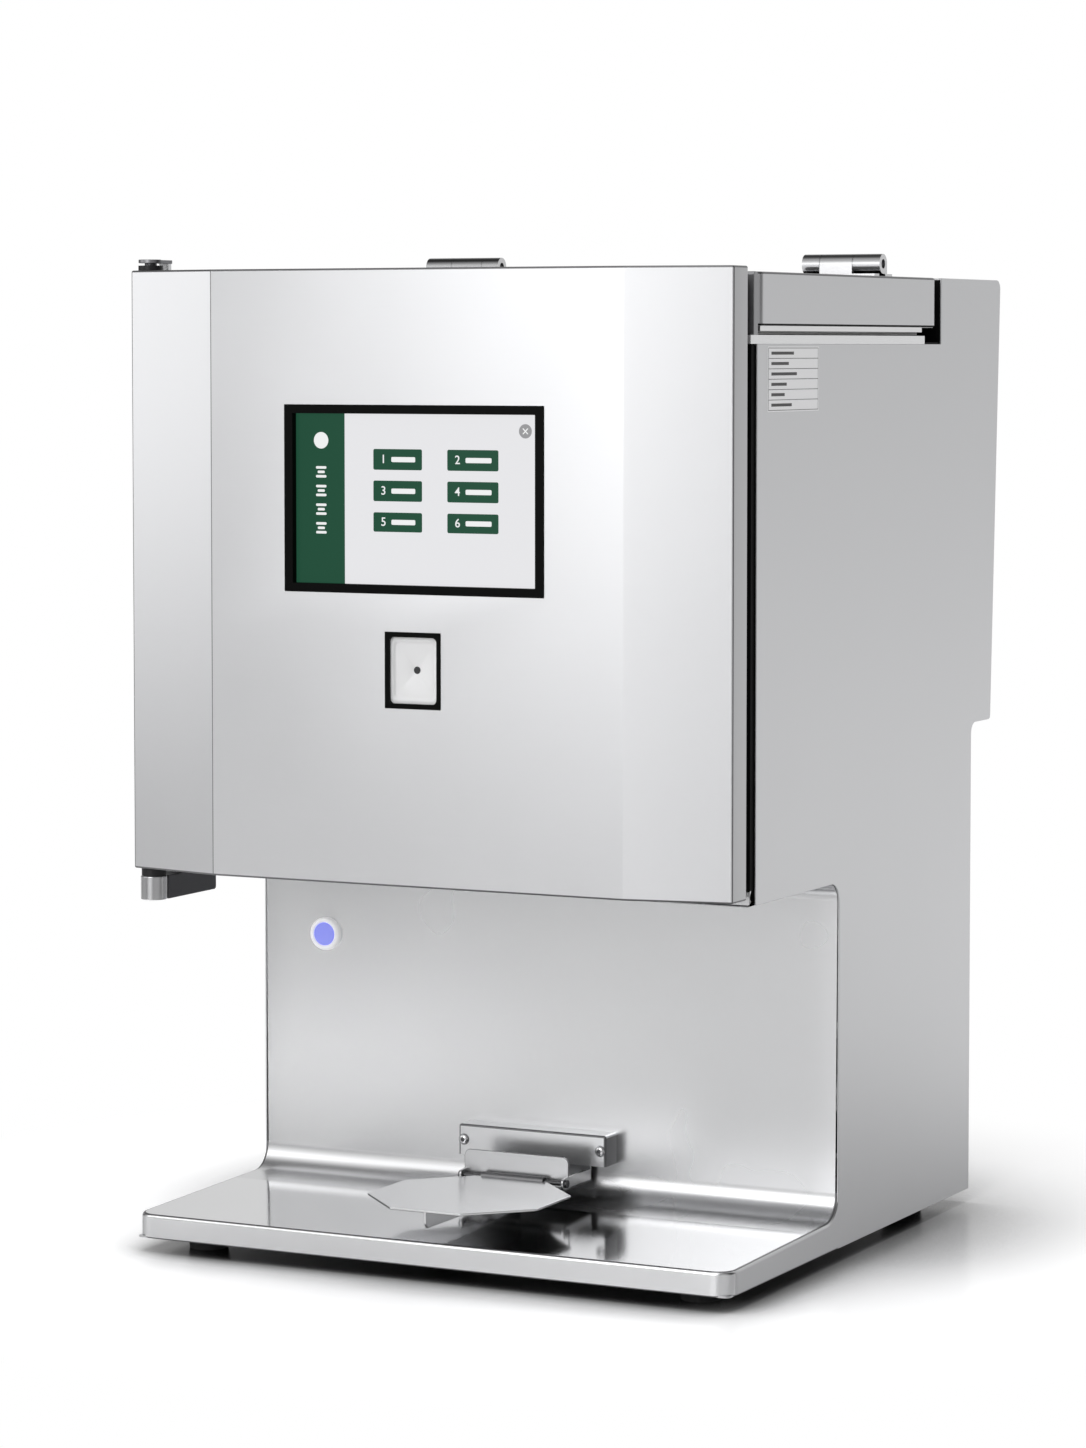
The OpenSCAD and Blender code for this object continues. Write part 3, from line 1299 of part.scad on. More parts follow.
placed() deck_and_splash();
placed() base_plate();
placed() rubber_feet();
placed() left_side_panel();
placed() right_side_panel();
placed() box_floor();
placed() lower_back_panel();
placed() rear_hood();
placed() bulkhead();
placed() insulation();
placed() cold_liner();
placed() breaker_strips();
placed() front_rail();
placed() top_rim();
placed() compressor();
placed() condenser();
placed() fan_frame();
placed() fan_rotor();
placed() evaporator();
placed() refrigerant_pipes();
placed() power_supply();
placed() control_board();
placed() mains_inlet();
placed() mains_switch();
placed() pump_motor();
placed() pump_head();
placed() pump_cover();
placed() pump_rotor();
placed() pump_roller_1();
placed() pump_roller_2();
placed() pump_roller_3();
placed() pump_tube();
placed() yogurt_tank();
placed() nozzle();
placed() lower_hinge_bracket();
placed() upper_hinge_plate();
placed() hinge_pins();
placed() button_body();
placed() button_cap();
placed() button_nut();
placed() cup_cover();
placed() cover_screws();
placed() weigh_bar();
placed() cup_carrier();
placed() cup_plate();
placed() door_skin();
placed() door_liner();
placed() door_foam();
placed() door_gasket();
placed() door_bushes();
placed() screen_frame();
placed() screen_panel();
placed() scanner_frame();
placed() scanner_window();
placed() scanner_lens();
placed() lid_skin();
placed() lid_liner();
placed() lid_gasket();
placed() lid_hinge_leaves();
placed() lid_hinge_bases();
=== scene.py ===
"""Looks of a counter-top yogurt dispenser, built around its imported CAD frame.

All sizes are metres in the frame of the CAD model: X runs across the machine, the front faces -Y, Z is up.
"""

import bmesh
import bpy
import numpy as np
from bpy.props import FloatProperty, FloatVectorProperty, PointerProperty
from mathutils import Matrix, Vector


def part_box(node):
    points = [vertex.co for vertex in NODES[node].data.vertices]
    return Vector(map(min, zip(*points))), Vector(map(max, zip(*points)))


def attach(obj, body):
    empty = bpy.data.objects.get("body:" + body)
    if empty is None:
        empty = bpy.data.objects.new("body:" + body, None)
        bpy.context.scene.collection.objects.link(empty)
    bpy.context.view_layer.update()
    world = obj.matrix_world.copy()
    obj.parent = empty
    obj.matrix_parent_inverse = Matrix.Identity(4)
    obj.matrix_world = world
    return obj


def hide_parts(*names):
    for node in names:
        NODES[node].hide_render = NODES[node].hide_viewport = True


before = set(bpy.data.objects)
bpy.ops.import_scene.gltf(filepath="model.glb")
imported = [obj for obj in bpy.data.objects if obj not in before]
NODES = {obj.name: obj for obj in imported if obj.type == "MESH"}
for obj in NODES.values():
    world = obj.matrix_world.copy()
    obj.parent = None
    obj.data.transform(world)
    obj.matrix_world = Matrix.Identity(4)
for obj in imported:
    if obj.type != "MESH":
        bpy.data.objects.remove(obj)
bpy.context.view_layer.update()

bl_info = {
    "name": "Yogurt dispenser looks",
    "version": (1, 0, 0),
    "blender": (4, 5, 0),
    "location": "View3D > Sidebar > Dispenser",
    "description": "Dresses the CAD frame of a yogurt dispenser for a studio picture",
    "category": "Object",
}

MM = 0.001
# Read from the boxes of CAD nodes: the fronts of the chilled box and of the column, the ceiling of the cup
# bay, half the machine's width, and the thickness of its sheets.
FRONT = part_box("cold_liner")[0].y
COLUMN_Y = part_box("cup_cover")[1].y
CEILING_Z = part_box("lower_hinge_bracket")[1].z
HALF_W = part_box("right_side_panel")[1].x
SHEET = HALF_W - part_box("right_side_panel")[0].x
# The side panels stop this far inside the CAD box, which leaves room for the label.
FILM = 0.12 * MM
# The cup rest: its upstand in front of the column, its pin, the rise of its roll above the plate and the
# radius of that roll.
UPSTAND_Y = COLUMN_Y - 49.5 * MM
PIN_Y = UPSTAND_Y - 5 * MM
TONGUE_RISE = 3.2 * MM
PIN_ROLL = 4.2 * MM
# Height of one layer of the screen's picture.
LAYER = 0.05 * MM


# Sizes and colours that a user may change

def length(label, text, size):
    """A length property with its default in metres."""
    return FloatProperty(name=label, description=text, default=size, min=0.0, unit="LENGTH",
                         subtype="DISTANCE")


def share(label, text, value):
    """A property between 0 and 1."""
    return FloatProperty(name=label, description=text, default=value, min=0.0, max=1.0, subtype="FACTOR")


def tint(label, text, value):
    """A colour property, linear."""
    return FloatVectorProperty(name=label, description=text, default=value, size=3, min=0.0, max=1.0,
                               subtype="COLOR")


def scale(label, text):
    """A factor that is 1 unless it is changed."""
    return FloatProperty(name=label, description=text, default=1.0, min=0.0)


class CasingSizes(bpy.types.PropertyGroup):
    """Sizes of the sheet-metal casing."""
    deck_edge: length("Deck edge", "Round-over along the top edge of the deck", 3.0 * MM)
    deck_corner: length("Deck corner", "Radius of the deck's front corners, seen from above", 17.0 * MM)
    skirt: length("Skirt", "Height of the deck's front skirt", 20.0 * MM)
    deck_rise: length("Deck rise", "Rise of the deck from its front to the cove", 4.0 * MM)
    cove: length("Cove", "Radius of the cove between deck and column", 22.0 * MM)
    ceiling_bend: length("Ceiling bend", "Radius of the bend between column and bay ceiling", 16.0 * MM)
    panel_edge: length("Panel edge", "Rounding of the edges of the side panels", 0.5 * MM)


class DoorSizes(bpy.types.PropertyGroup):
    """Sizes of the door's skin."""
    band: length("Band", "Width of each sloping band beside the flat front", 85.5 * MM)
    bow: length("Bow", "How far the flat front stands in front of the door's edges", 16.9 * MM)
    bend: length("Bend", "Bend radius between the flat front and a band", 4.0 * MM)
    edge: length("Edge", "Bend radius along the outer edges", 1.6 * MM)


class SteelFinish(bpy.types.PropertyGroup):
    """Finish of the steel pieces."""
    satin: tint("Satin colour", "Reflected colour of the satin steel", (0.70, 0.703, 0.715))
    satin_rough: share("Satin roughness", "Roughness of the casing", 0.36)
    polish: tint("Polished colour", "Reflected colour of the polished steel", (0.74, 0.743, 0.752))
    polish_rough: share("Polished roughness", "Roughness of the deck", 0.1)


class ScreenColours(bpy.types.PropertyGroup):
    """Colours of the touch screen's picture."""
    page: tint("Page", "Light page behind the buttons", (0.83, 0.83, 0.85))
    green: tint("Green", "Side bar and buttons", (0.0152, 0.0742, 0.0409))
    ink: tint("Ink", "Marks on the green fields", (0.86, 0.87, 0.87))
    grey: tint("Grey", "Round close mark", (0.33, 0.33, 0.34))


class StageLook(bpy.types.PropertyGroup):
    """Studio floor and lamps."""
    floor: tint("Floor", "Colour of the pale floor", (0.86, 0.86, 0.865))
    lamps: scale("Lamps", "Scales the power of all soft boxes")
    room: scale("Room", "Scales the light of the room")


# Surfaces

def arc(centre, radius, start, end, steps):
    """Points of a circle about a centre, from one angle in degrees to another."""
    turn = np.radians(np.linspace(start, end, steps + 1))
    return np.asarray(centre) + radius * np.stack([np.cos(turn), np.sin(turn)], 1)


def soft_outline(corners, radii, steps=6):
    """A closed outline whose corners are arcs.

    At each corner the arc touches both edges; its points swing evenly about the arc's centre, from the foot
    on the edge before to the foot on the edge after.
    """
    at = np.asarray(corners, float)
    radius = np.broadcast_to(np.maximum(np.asarray(radii, float), 1e-7), len(at))[:, None]
    before = np.roll(at, 1, 0) - at
    after = np.roll(at, -1, 0) - at
    before /= np.linalg.norm(before, axis=1, keepdims=True)
    after /= np.linalg.norm(after, axis=1, keepdims=True)
    half = 0.5 * np.arccos(np.clip((before * after).sum(1, keepdims=True), -1, 1))
    middle = before + after
    middle /= np.maximum(np.linalg.norm(middle, axis=1, keepdims=True), 1e-12)
    centre = at + middle * radius / np.sin(half)
    first = at + before * radius / np.tan(half) - centre
    last = at + after * radius / np.tan(half) - centre
    swing = (np.pi - 2 * half)[:, None]
    part = np.linspace(0, 1, steps + 1)[None, :, None]
    leaving = np.sin((1 - part) * swing) * first[:, None]
    arriving = np.sin(part * swing) * last[:, None]
    return (centre[:, None] + (leaving + arriving) / np.sin(swing)).reshape(-1, 2)


def evened(outline, count):
    """The same closed outline with its points set evenly along its length."""
    ring = np.concatenate([outline, outline[:1]])
    run = np.concatenate([[0], np.cumsum(np.linalg.norm(np.diff(ring, axis=0), axis=1))])
    at = np.linspace(0, run[-1], count, endpoint=False)
    return np.stack([np.interp(at, run, ring[:, 0]), np.interp(at, run, ring[:, 1])], 1)


def drawn_in(outline, inset):
    """A closed outline, given anticlockwise, with every edge moved inwards by inset."""
    edge = np.roll(outline, -1, 0) - outline
    span = np.maximum(np.linalg.norm(edge, axis=1, keepdims=True), 1e-12)
    normal = np.stack([-edge[:, 1], edge[:, 0]], 1) / span
    back = np.roll(normal, 1, 0)
    return outline + inset * (back + normal) / (1 + (back * normal).sum(1))[:, None]


def rectangle(centre, width, height):
    """Four corners of a rectangle, anticlockwise."""
    half = np.array([width, height]) / 2
    return np.asarray(centre) + half * np.array([[-1, -1], [1, -1], [1, 1], [-1, 1]])


# How an outline's two directions and the direction it is drawn out in lie in the frame.
PLAN = np.array([[1, 0, 0], [0, 1, 0], [0, 0, 1]], float)
SIDE = np.array([[0, 1, 0], [0, 0, 1], [1, 0, 0]], float)
FACE = np.array([[1, 0, 0], [0, 0, 1], [0, -1, 0]], float)


def stacked(rings, level, way):
    """Flat rings, each set at its own level along the third direction of way."""
    third = np.broadcast_to(np.reshape(level, (-1, 1, 1)), rings.shape[:2] + (1,))
    return np.concatenate([rings, third], -1) @ way


class Shell:
    """Collects surfaces that make one piece, each with the number of its material."""

    def __init__(self):
        self.points = []
        self.faces = []
        self.paint = []
        self.count = 0

    def add(self, points, faces, paint=0):
        """Adds points and faces whose numbers count from the first of these points."""
        self.points.append(np.asarray(points, float).reshape(-1, 3))
        self.faces.extend((np.asarray(f) + self.count).tolist() for f in faces)
        self.paint.extend(np.broadcast_to(paint, len(faces)).tolist())
        self.count += len(self.points[-1])

    def grid(self, points, around=False, keep=None, flip=False, paint=0):
        """A surface over rows and columns of points; around closes the last column to the first.

        paint is one material number, or an array of them that fits the rows and columns of faces.
        """
        rows, columns = points.shape[:2]
        number = np.arange(rows * columns).reshape(rows, columns)
        right = np.roll(number, -1, 1)
        span = columns if around else columns - 1
        quads = np.stack([number[:-1, :span], right[:-1, :span], right[1:, :span], number[1:, :span]], -1)
        quads = quads[..., ::-1] if flip else quads
        keep = np.ones(quads.shape[:2], bool) if keep is None else keep
        self.add(points, quads[keep], np.broadcast_to(paint, quads.shape[:2])[keep])

    def cap(self, ring, flip=False, paint=0):
        """One flat face inside a ring of points."""
        order = np.arange(len(ring))
        self.add(ring, [order[::-1] if flip else order], paint)

    def prism(self, outline, low, high, way=PLAN, edge=0.3 * MM, steps=3, paint=0, ends=(True, True),
              rims=(None, None)):
        """An outline drawn out from low to high, with its rims rounded by edge.

        Ring by ring, the outline is drawn in by edge * (1 - sin t) while it rises by edge * (1 - cos t).
        rims gives the materials of the low and the high rounding where they differ from the rest.
        """
        turn = np.linspace(0, np.pi / 2, steps + 1)
        inset = edge * (1 - np.sin(turn))
        rise = edge * (1 - np.cos(turn))
        inset = np.concatenate([inset, inset[::-1]])
        level = np.concatenate([low + rise, high - rise[::-1]])
        points = stacked(np.stack([drawn_in(outline, i) for i in inset]), level, way)
        rows = np.full((2 * steps + 1, 1), paint)
        rows[:steps] = paint if rims[0] is None else rims[0]
        rows[-steps:] = paint if rims[1] is None else rims[1]
        self.grid(points, around=True, paint=rows)
        if ends[0]:
            self.cap(points[0], flip=True, paint=paint)
        if ends[1]:
            self.cap(points[-1], paint=paint)

    def lathe(self, profile, centre, way=PLAN, steps=64, paint=0, shape=None, rows=None):
        """A profile of radius and height turned about an axis through centre.

        shape, if given, scales each radius by angle: profile radius of the row * shape[row, angle].
        rows, if given, holds the material number of each row of faces.
        """
        radius, level = np.asarray(profile, float).T
        turn = np.linspace(0, 2 * np.pi, steps, endpoint=False)
        reach = radius[:, None] * (np.ones((len(radius), steps)) if shape is None else shape)
        points = np.stack([reach * np.cos(turn), reach * np.sin(turn),
                           np.broadcast_to(level[:, None], reach.shape)], -1) @ way + np.asarray(centre)
        self.grid(points, around=True, paint=paint if rows is None else np.reshape(rows, (-1, 1)))
        if radius[0] > 1e-6:
            self.cap(points[0], flip=True, paint=paint)
        if radius[-1] > 1e-6:
            self.cap(points[-1], paint=paint)

    def mesh(self, name):
        """A mesh of all surfaces, with their seams merged."""
        mesh = bpy.data.meshes.new(name)
        mesh.from_pydata(np.concatenate(self.points).tolist(), [], self.faces)
        mesh.polygons.foreach_set("material_index", np.asarray(self.paint, np.int32))
        work = bmesh.new()
        work.from_mesh(mesh)
        bmesh.ops.remove_doubles(work, verts=work.verts, dist=2e-6)
        bmesh.ops.dissolve_degenerate(work, edges=work.edges, dist=1e-6)
        work.to_mesh(mesh)
        work.free()
        return mesh

    def build(self, name, finishes, body, replaced=(), wall=0.0, sharp=38.0):
        """Makes the piece, smooth but for its sharp edges, and sets it on its body.

        finishes names the materials in the order of their numbers. wall thickens an open sheet inwards.
        """
        mesh = self.mesh(name)
        mesh.polygons.foreach_set("use_smooth", np.ones(len(mesh.polygons), bool))
        mesh.set_sharp_from_angle(angle=np.radians(sharp))
        for kind in finishes:
            mesh.materials.append(finish(kind))
        piece = bpy.data.objects.new(name, mesh)
        bpy.context.scene.collection.objects.link(piece)
        if wall > 0:
            thick = piece.modifiers.new("wall", "SOLIDIFY")
            thick.thickness = wall
            thick.offset = -1.0
            thick.use_even_offset = True
        even = piece.modifiers.new("even shading", "WEIGHTED_NORMAL")
        even.keep_sharp = True
        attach(piece, body)
        if replaced:
            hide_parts(*replaced)
        return piece


# Shader nodes

class Value:
    """A number over the surface. Arithmetic on it adds Math nodes to its graph."""

    def __init__(self, graph, socket):
        self.graph = graph
        self.socket = socket

    def math(self, operation, *terms):
        """A Math node on these terms, each a Value or a number."""
        return self.graph.node("ShaderNodeMath", {"operation": operation}, dict(enumerate(terms)))

    def __add__(self, other):
        return self.math("ADD", self, other)

    __radd__ = __add__

    def __sub__(self, other):
        return self.math("SUBTRACT", self, other)

    def __rsub__(self, other):
        return self.math("SUBTRACT", other, self)

    def __mul__(self, other):
        return self.math("MULTIPLY", self, other)

    __rmul__ = __mul__

    def __pow__(self, other):
        return self.math("POWER", self, other)

    def between(self, low, high):
        """0 below low, 1 above high, and a smooth step between them."""
        return self.graph.node("ShaderNodeMapRange", {"interpolation_type": "SMOOTHSTEP"},
                               {"Value": self, "From Min": low, "From Max": high})


def find_socket(sockets, key):
    """The socket with that number, identifier or name."""
    named = {socket.identifier: socket for socket in sockets}
    return named.get(key) or sockets[key]


class Graph:
    """The nodes of one material, world or lamp."""

    def __init__(self, tree):
        self.tree = tree
        tree.nodes.clear()

    def node(self, kind, settings=None, inputs=None, output=0):
        """Adds a node: its settings first, then the values or links of its sockets. Gives one output."""
        made = self.tree.nodes.new(kind)
        for key, value in (settings or {}).items():
            setattr(made, key, value)
        for key, value in (inputs or {}).items():
            socket = find_socket(made.inputs, key)
            if isinstance(value, Value):
                self.tree.links.new(value.socket, socket)
            else:
                socket.default_value = value
        if not made.outputs:
            return None
        return Value(self, find_socket(made.outputs, output))

    def place(self, scale=(1, 1, 1), turn=(0, 0, 0)):
        """Object coordinates, turned and scaled."""
        spot = self.node("ShaderNodeTexCoord", output="Object")
        return self.node("ShaderNodeMapping", None, {"Vector": spot, "Scale": scale, "Rotation": turn})

    def noise(self, where, scale, detail=2.0, rough=0.5):
        """Smooth noise from 0 to 1 about 0.5."""
        return self.node("ShaderNodeTexNoise", None,
                         {"Vector": where, "Scale": scale, "Detail": detail, "Roughness": rough}, "Fac")

    def blend(self, amount, first, second):
        """A colour between two colours."""
        return self.node("ShaderNodeMix", {"data_type": "RGBA"},
                         {"Factor_Float": amount, "A_Color": first, "B_Color": second}, "Result_Color")

    def bump(self, height, strength, distance):
        """A normal tilted by a height."""
        return self.node("ShaderNodeBump", None,
                         {"Height": height, "Strength": strength, "Distance": distance}, "Normal")

    def surface(self, inputs):
        """Finishes a material with a Principled surface."""
        shader = self.node("ShaderNodeBsdfPrincipled", None, inputs)
        self.node("ShaderNodeOutputMaterial", None, {"Surface": shader})


def rgba(colour):
    """A colour with full alpha."""
    return (colour[0], colour[1], colour[2], 1.0)


def shaded(colour, factor):
    """A colour made lighter or darker."""
    return rgba([min(1.0, c * factor) for c in colour])


def new_graph(name):
    """A fresh material and its graph."""
    material = bpy.data.materials.new(name)
    material.use_nodes = True
    return material, Graph(material.node_tree)


def rolled_steel(name, colour, rough, along, streak=0.05, cloud=0.035, lift=0.06):
    """Sheet steel: fine streaks along its rolling direction, and faint clouds where it was wiped."""
    material, g = new_graph(name)
    # How often the noise changes per metre, along the streaks and across them.
    slow, quick = 18, 2600
    fine = {"X": (slow, quick, quick), "Z": (quick, quick, slow)}[along]
    lines = g.noise(g.place(fine), 1.0, 3.0, 0.6)
    clouds = g.noise(g.place(), 7.0, 2.0)
    lined = 10 * streak
    mottle = lines * lined + clouds * (1 - lined)
    tone = g.blend(mottle, shaded(colour, 0.965), shaded(colour, 1.03))
    roughness = rough + (lines - 0.5) * streak + (clouds - 0.5) * cloud
    g.surface({"Base Color": tone, "Metallic": 1.0, "Roughness": roughness,
               "Normal": g.bump(lines, lift, 0.02 * MM)})
    return material


def cast_metal(name, colour, rough, size=900.0, lift=0.08, top_shade=1.0):
    """Turned or plated metal with a faint grain. top_shade is painted shade: it darkens the faces that look
    upwards.
    """
    material, g = new_graph(name)
    grain = g.noise(g.place(), size, 2.0)
    clouds = g.noise(g.place(), 40.0, 2.0)
    tone = g.blend(clouds, shaded(colour, 0.94), shaded(colour, 1.04))
    if top_shade < 1:
        facing = g.node("ShaderNodeTexCoord", output="Normal")
        upward = g.node("ShaderNodeSeparateXYZ", None, {0: facing}, "Z").between(-0.1, 0.75)
        tone = g.blend(upward, tone, shaded(colour, top_shade))
    g.surface({"Base Color": tone, "Metallic": 1.0, "Roughness": rough + (grain - 0.5) * 0.06,
               "Normal": g.bump(grain, lift, 0.02 * MM)})
    return material


def moulded(name, colour, rough, grain=1500.0, lift=0.12, coat=0.0, spread=0.06, shine=0.5, glow=0.0):
    """Moulded plastic or rubber: a fine spark-eroded grain, slightly uneven in tone and gloss.

    glow is painted light: it makes the piece shine from within, though there is no lamp in it.
    """
    material, g = new_graph(name)
    pits = g.noise(g.place(), grain, 2.0)
    clouds = g.noise(g.place(), 25.0, 2.0)
    tone = g.blend(clouds, shaded(colour, 1 - spread), shaded(colour, 1 + spread))
    g.surface({"Base Color": tone, "Roughness": rough + (pits - 0.5) * 0.08 + (clouds - 0.5) * 0.05,
               "Coat Weight": coat, "Specular IOR Level": shine, "Emission Color": tone,
               "Emission Strength": glow, "Normal": g.bump(pits, lift, 0.03 * MM)})
    return material


def ribbed(name, colour, low, high):
    """A seal of pale rubber between two heights, with painted shade for grooves along its top, middle and
    foot.

    The tone follows the cosine of the height, two full waves over the seal.
    """
    material, g = new_graph(name)
    spot = g.place()
    height = g.node("ShaderNodeSeparateXYZ", None, {0: spot}, "Z")
    turn = (height - low) * (4 * np.pi / (high - low))
    wave = turn.math("COSINE", turn)
    tone = g.blend(wave.between(-0.2, 0.6), rgba(colour), shaded(colour, 0.1))
    grain = g.noise(spot, 900.0)
    g.surface({"Base Color": tone, "Roughness": 0.6, "Normal": g.bump(grain, 0.1, 0.03 * MM)})
    return material


def clear(name, colour, rough, index):
    """Clear plastic with faint flow lines."""
    material, g = new_graph(name)
    flow = g.noise(g.place((30, 30, 220)), 1.0, 2.0)
    tone = g.blend(flow, shaded(colour, 0.97), shaded(colour, 1.02))
    g.surface({"Base Color": tone, "Roughness": rough + (flow - 0.5) * 0.06, "IOR": index,
               "Transmission Weight": 0.85})
    return material


def foamed(name, colour):
    """Rigid foam: small cells with darker seams, and a black seal where it meets the door opening."""
    material, g = new_graph(name)
    spot = g.place()
    cells = g.node("ShaderNodeTexVoronoi", {"feature": "F1"}, {"Vector": spot, "Scale": 420.0}, "Distance")
    tone = g.blend(cells.between(0.1, 0.8), shaded(colour, 1.05), shaded(colour, 0.8))
    inside = g.node("ShaderNodeSeparateXYZ", None, {0: spot}, "Y").between(FRONT + 14 * MM, FRONT + 15 * MM)
    tone = g.blend(inside, (0.004, 0.004, 0.004, 1), tone)
    g.surface({"Base Color": tone, "Roughness": 0.9, "Specular IOR Level": 0.15,
               "Normal": g.bump(cells, 0.4, 0.4 * MM)})
    return material


def circuit_board(name):
    """Green board: copper paths under the lacquer, as bands of a stretched brick pattern."""
    material, g = new_graph(name)
    paths = g.node("ShaderNodeTexBrick", {"offset": 0.37},
                   {"Vector": g.place((1, 1, 1), (np.pi / 2, 0, 0)), "Scale": 55.0, "Mortar Size": 0.03,
                    "Color1": (0.008, 0.07, 0.03, 1), "Color2": (0.012, 0.09, 0.04, 1),
                    "Mortar": (0.03, 0.19, 0.08, 1)}, "Color")
    g.surface({"Base Color": paths, "Roughness": 0.35, "Coat Weight": 0.4})
    return material


def lit(name, colour, glow):
    """A field of the lit screen: it glows in its own colour behind smooth glass."""
    material, g = new_graph(name)
    dots = g.noise(g.place(), 2600.0, 1.0)
    tone = g.blend(dots, shaded(colour, 0.985), shaded(colour, 1.015))
    g.surface({"Base Color": shaded(colour, 0.06), "Roughness": 0.22, "Specular IOR Level": 0.1,
               "Emission Color": tone, "Emission Strength": glow})
    return material


FINISHES = {}
# Streak, cloud and lift of polished sheets, whose grain is too fine to be seen or hardly shows.
NO_GRAIN = (0.0, 0.03, 0.0)
SOFT_GRAIN = (0.02, 0.03, 0.02)


def finish(name):
    """The material of that name, made once."""
    if name not in FINISHES:
        look = bpy.context.scene.dispenser_steel
        satin = tuple(look.satin)
        polish = tuple(look.polish)
        screen = bpy.context.scene.dispenser_screen
        seal = [corner.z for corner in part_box("lid_gasket")]
        makers = {
            "satin_front": lambda n: rolled_steel(n, satin, look.satin_rough, "X"),
            # The sides' satin is painted darker than the front's, as shade; its grain runs up and down and it
            # is rougher.
            "side_shaded_satin": lambda n: rolled_steel(n, shaded(satin, 0.94), look.satin_rough + 0.04, "Z"),
            "deck_steel": lambda n: rolled_steel(n, shaded(polish, 0.98), look.polish_rough, "X", *NO_GRAIN),
            "column_steel": lambda n: rolled_steel(n, polish, 0.27, "X", *NO_GRAIN),
            # The skirt's steel is painted lighter than the deck's, as light falling on it.
            "lit_skirt_steel": lambda n: rolled_steel(n, shaded(polish, 1.24), 0.26, "X", *SOFT_GRAIN),
            "shaded_return_steel": lambda n: rolled_steel(n, shaded(satin, 0.74), 0.42, "Z"),
            # Dark steel painted along bends, rims and gaps: it stands in for the dark reflection and shade
            # seen there.
            "painted_dark_edge": lambda n: cast_metal(n, (0.19, 0.19, 0.195), 0.42),
            "cover_steel": lambda n: rolled_steel(n, polish, 0.3, "X", *SOFT_GRAIN),
            "shaded_cover_side": lambda n: rolled_steel(n, (0.2, 0.2, 0.205), 0.32, "Z", *SOFT_GRAIN),
            # The rail is painted dark, as the shade in the recess between door and lid.
            "shaded_rail_steel": lambda n: rolled_steel(n, (0.3, 0.302, 0.31), 0.32, "X"),
            # The hinge knuckles are painted darker on top, as shade.
            "hinge_steel": lambda n: cast_metal(n, (0.66, 0.66, 0.67), 0.24, top_shade=0.1),
            "seal_rubber": lambda n: ribbed(n, (0.74, 0.74, 0.735), *seal),
            # The lid's plate is painted lighter than the casing, as light on a band that lies in the lid's
            # shade.
            "lit_lid_plate": lambda n: rolled_steel(n, (0.88, 0.88, 0.885), 0.4, "X"),
            "dark_steel": lambda n: cast_metal(n, (0.27, 0.27, 0.28), 0.38),
            "tray_steel": lambda n: rolled_steel(n, shaded(polish, 0.8), 0.28, "X", *SOFT_GRAIN),
            "bright_steel": lambda n: rolled_steel(n, polish, 0.24, "X", *SOFT_GRAIN),
            "plate_steel": lambda n: rolled_steel(n, shaded(polish, 1.16), 0.2, "X", *SOFT_GRAIN),
            "chrome": lambda n: cast_metal(n, (0.62, 0.62, 0.63), 0.2),
            # Near-black steel; on the lower hinge's arm and seat and on the screws' rims and sockets it is
            # painted shade.
            "dark_arm": lambda n: cast_metal(n, (0.11, 0.11, 0.115), 0.4),
            "aluminium": lambda n: rolled_steel(n, (0.78, 0.785, 0.79), 0.26, "X"),
            "black_plastic": lambda n: moulded(n, (0.012, 0.012, 0.013), 0.42, shine=0.3),
            "frame_black": lambda n: moulded(n, (0.0024, 0.0026, 0.0024), 0.36, lift=0.06, shine=0.05),
            # Near black: the breaker strips' own colour, and painted shade on the bulkhead and the lid's
            # lower rounding.
            "black_and_gap_shade": lambda n: moulded(n, (0.004, 0.004, 0.0042), 0.6, 700.0, 0.1, shine=0.1),
            "black_rubber": lambda n: moulded(n, (0.02, 0.02, 0.021), 0.7, 700.0, 0.2),
            "white_rubber": lambda n: moulded(n, (0.8, 0.8, 0.79), 0.6, 900.0, 0.1),
            "white_plastic": lambda n: moulded(n, (0.84, 0.84, 0.845), 0.32, coat=0.2, spread=0.015),
            # The button's cap and bezel are given painted light: they glow a little.
            "blue_plastic": lambda n: moulded(n, (0.26, 0.29, 0.86), 0.3, coat=0.2, spread=0.03, glow=0.4),
            "button_white": lambda n: moulded(n, (0.88, 0.88, 0.89), 0.3, coat=0.3, spread=0.01, glow=0.3),
            "pump_plastic": lambda n: moulded(n, (0.16, 0.22, 0.3), 0.42),
            "clear_tube": lambda n: clear(n, (0.93, 0.93, 0.9), 0.2, 1.41),
            "clear_plastic": lambda n: clear(n, (0.93, 0.95, 0.96), 0.06, 1.49),
            "foam": lambda n: foamed(n, (0.78, 0.68, 0.4)),
            "lid_core": lambda n: moulded(n, (0.8, 0.8, 0.79), 0.4, spread=0.02),
            "compressor_shell": lambda n: moulded(n, (0.018, 0.018, 0.02), 0.34, 260.0, 0.2),
            "copper": lambda n: cast_metal(n, (0.85, 0.45, 0.28), 0.28),
            "circuit_board": lambda n: circuit_board(n),
            "motor_metal": lambda n: cast_metal(n, (0.36, 0.36, 0.37), 0.38),
            "supply_case": lambda n: cast_metal(n, (0.62, 0.63, 0.64), 0.42, 400.0),
            "lens_glass": lambda n: moulded(n, (0.006, 0.006, 0.008), 0.08, coat=0.6),
            "screen_page": lambda n: lit(n, tuple(screen.page), 0.9),
            "screen_green": lambda n: lit(n, tuple(screen.green), 0.95),
            "screen_ink": lambda n: lit(n, tuple(screen.ink), 0.95),
            "screen_grey": lambda n: lit(n, tuple(screen.grey), 0.9),
            "label_film": lambda n: rolled_steel(n, (0.95, 0.95, 0.96), 0.5, "Z", 0.02, 0.02, 0.01),
            "label_line": lambda n: moulded(n, (0.09, 0.09, 0.092), 0.5, spread=0.02),
        }
        FINISHES[name] = makers[name](name)
    return FINISHES[name]


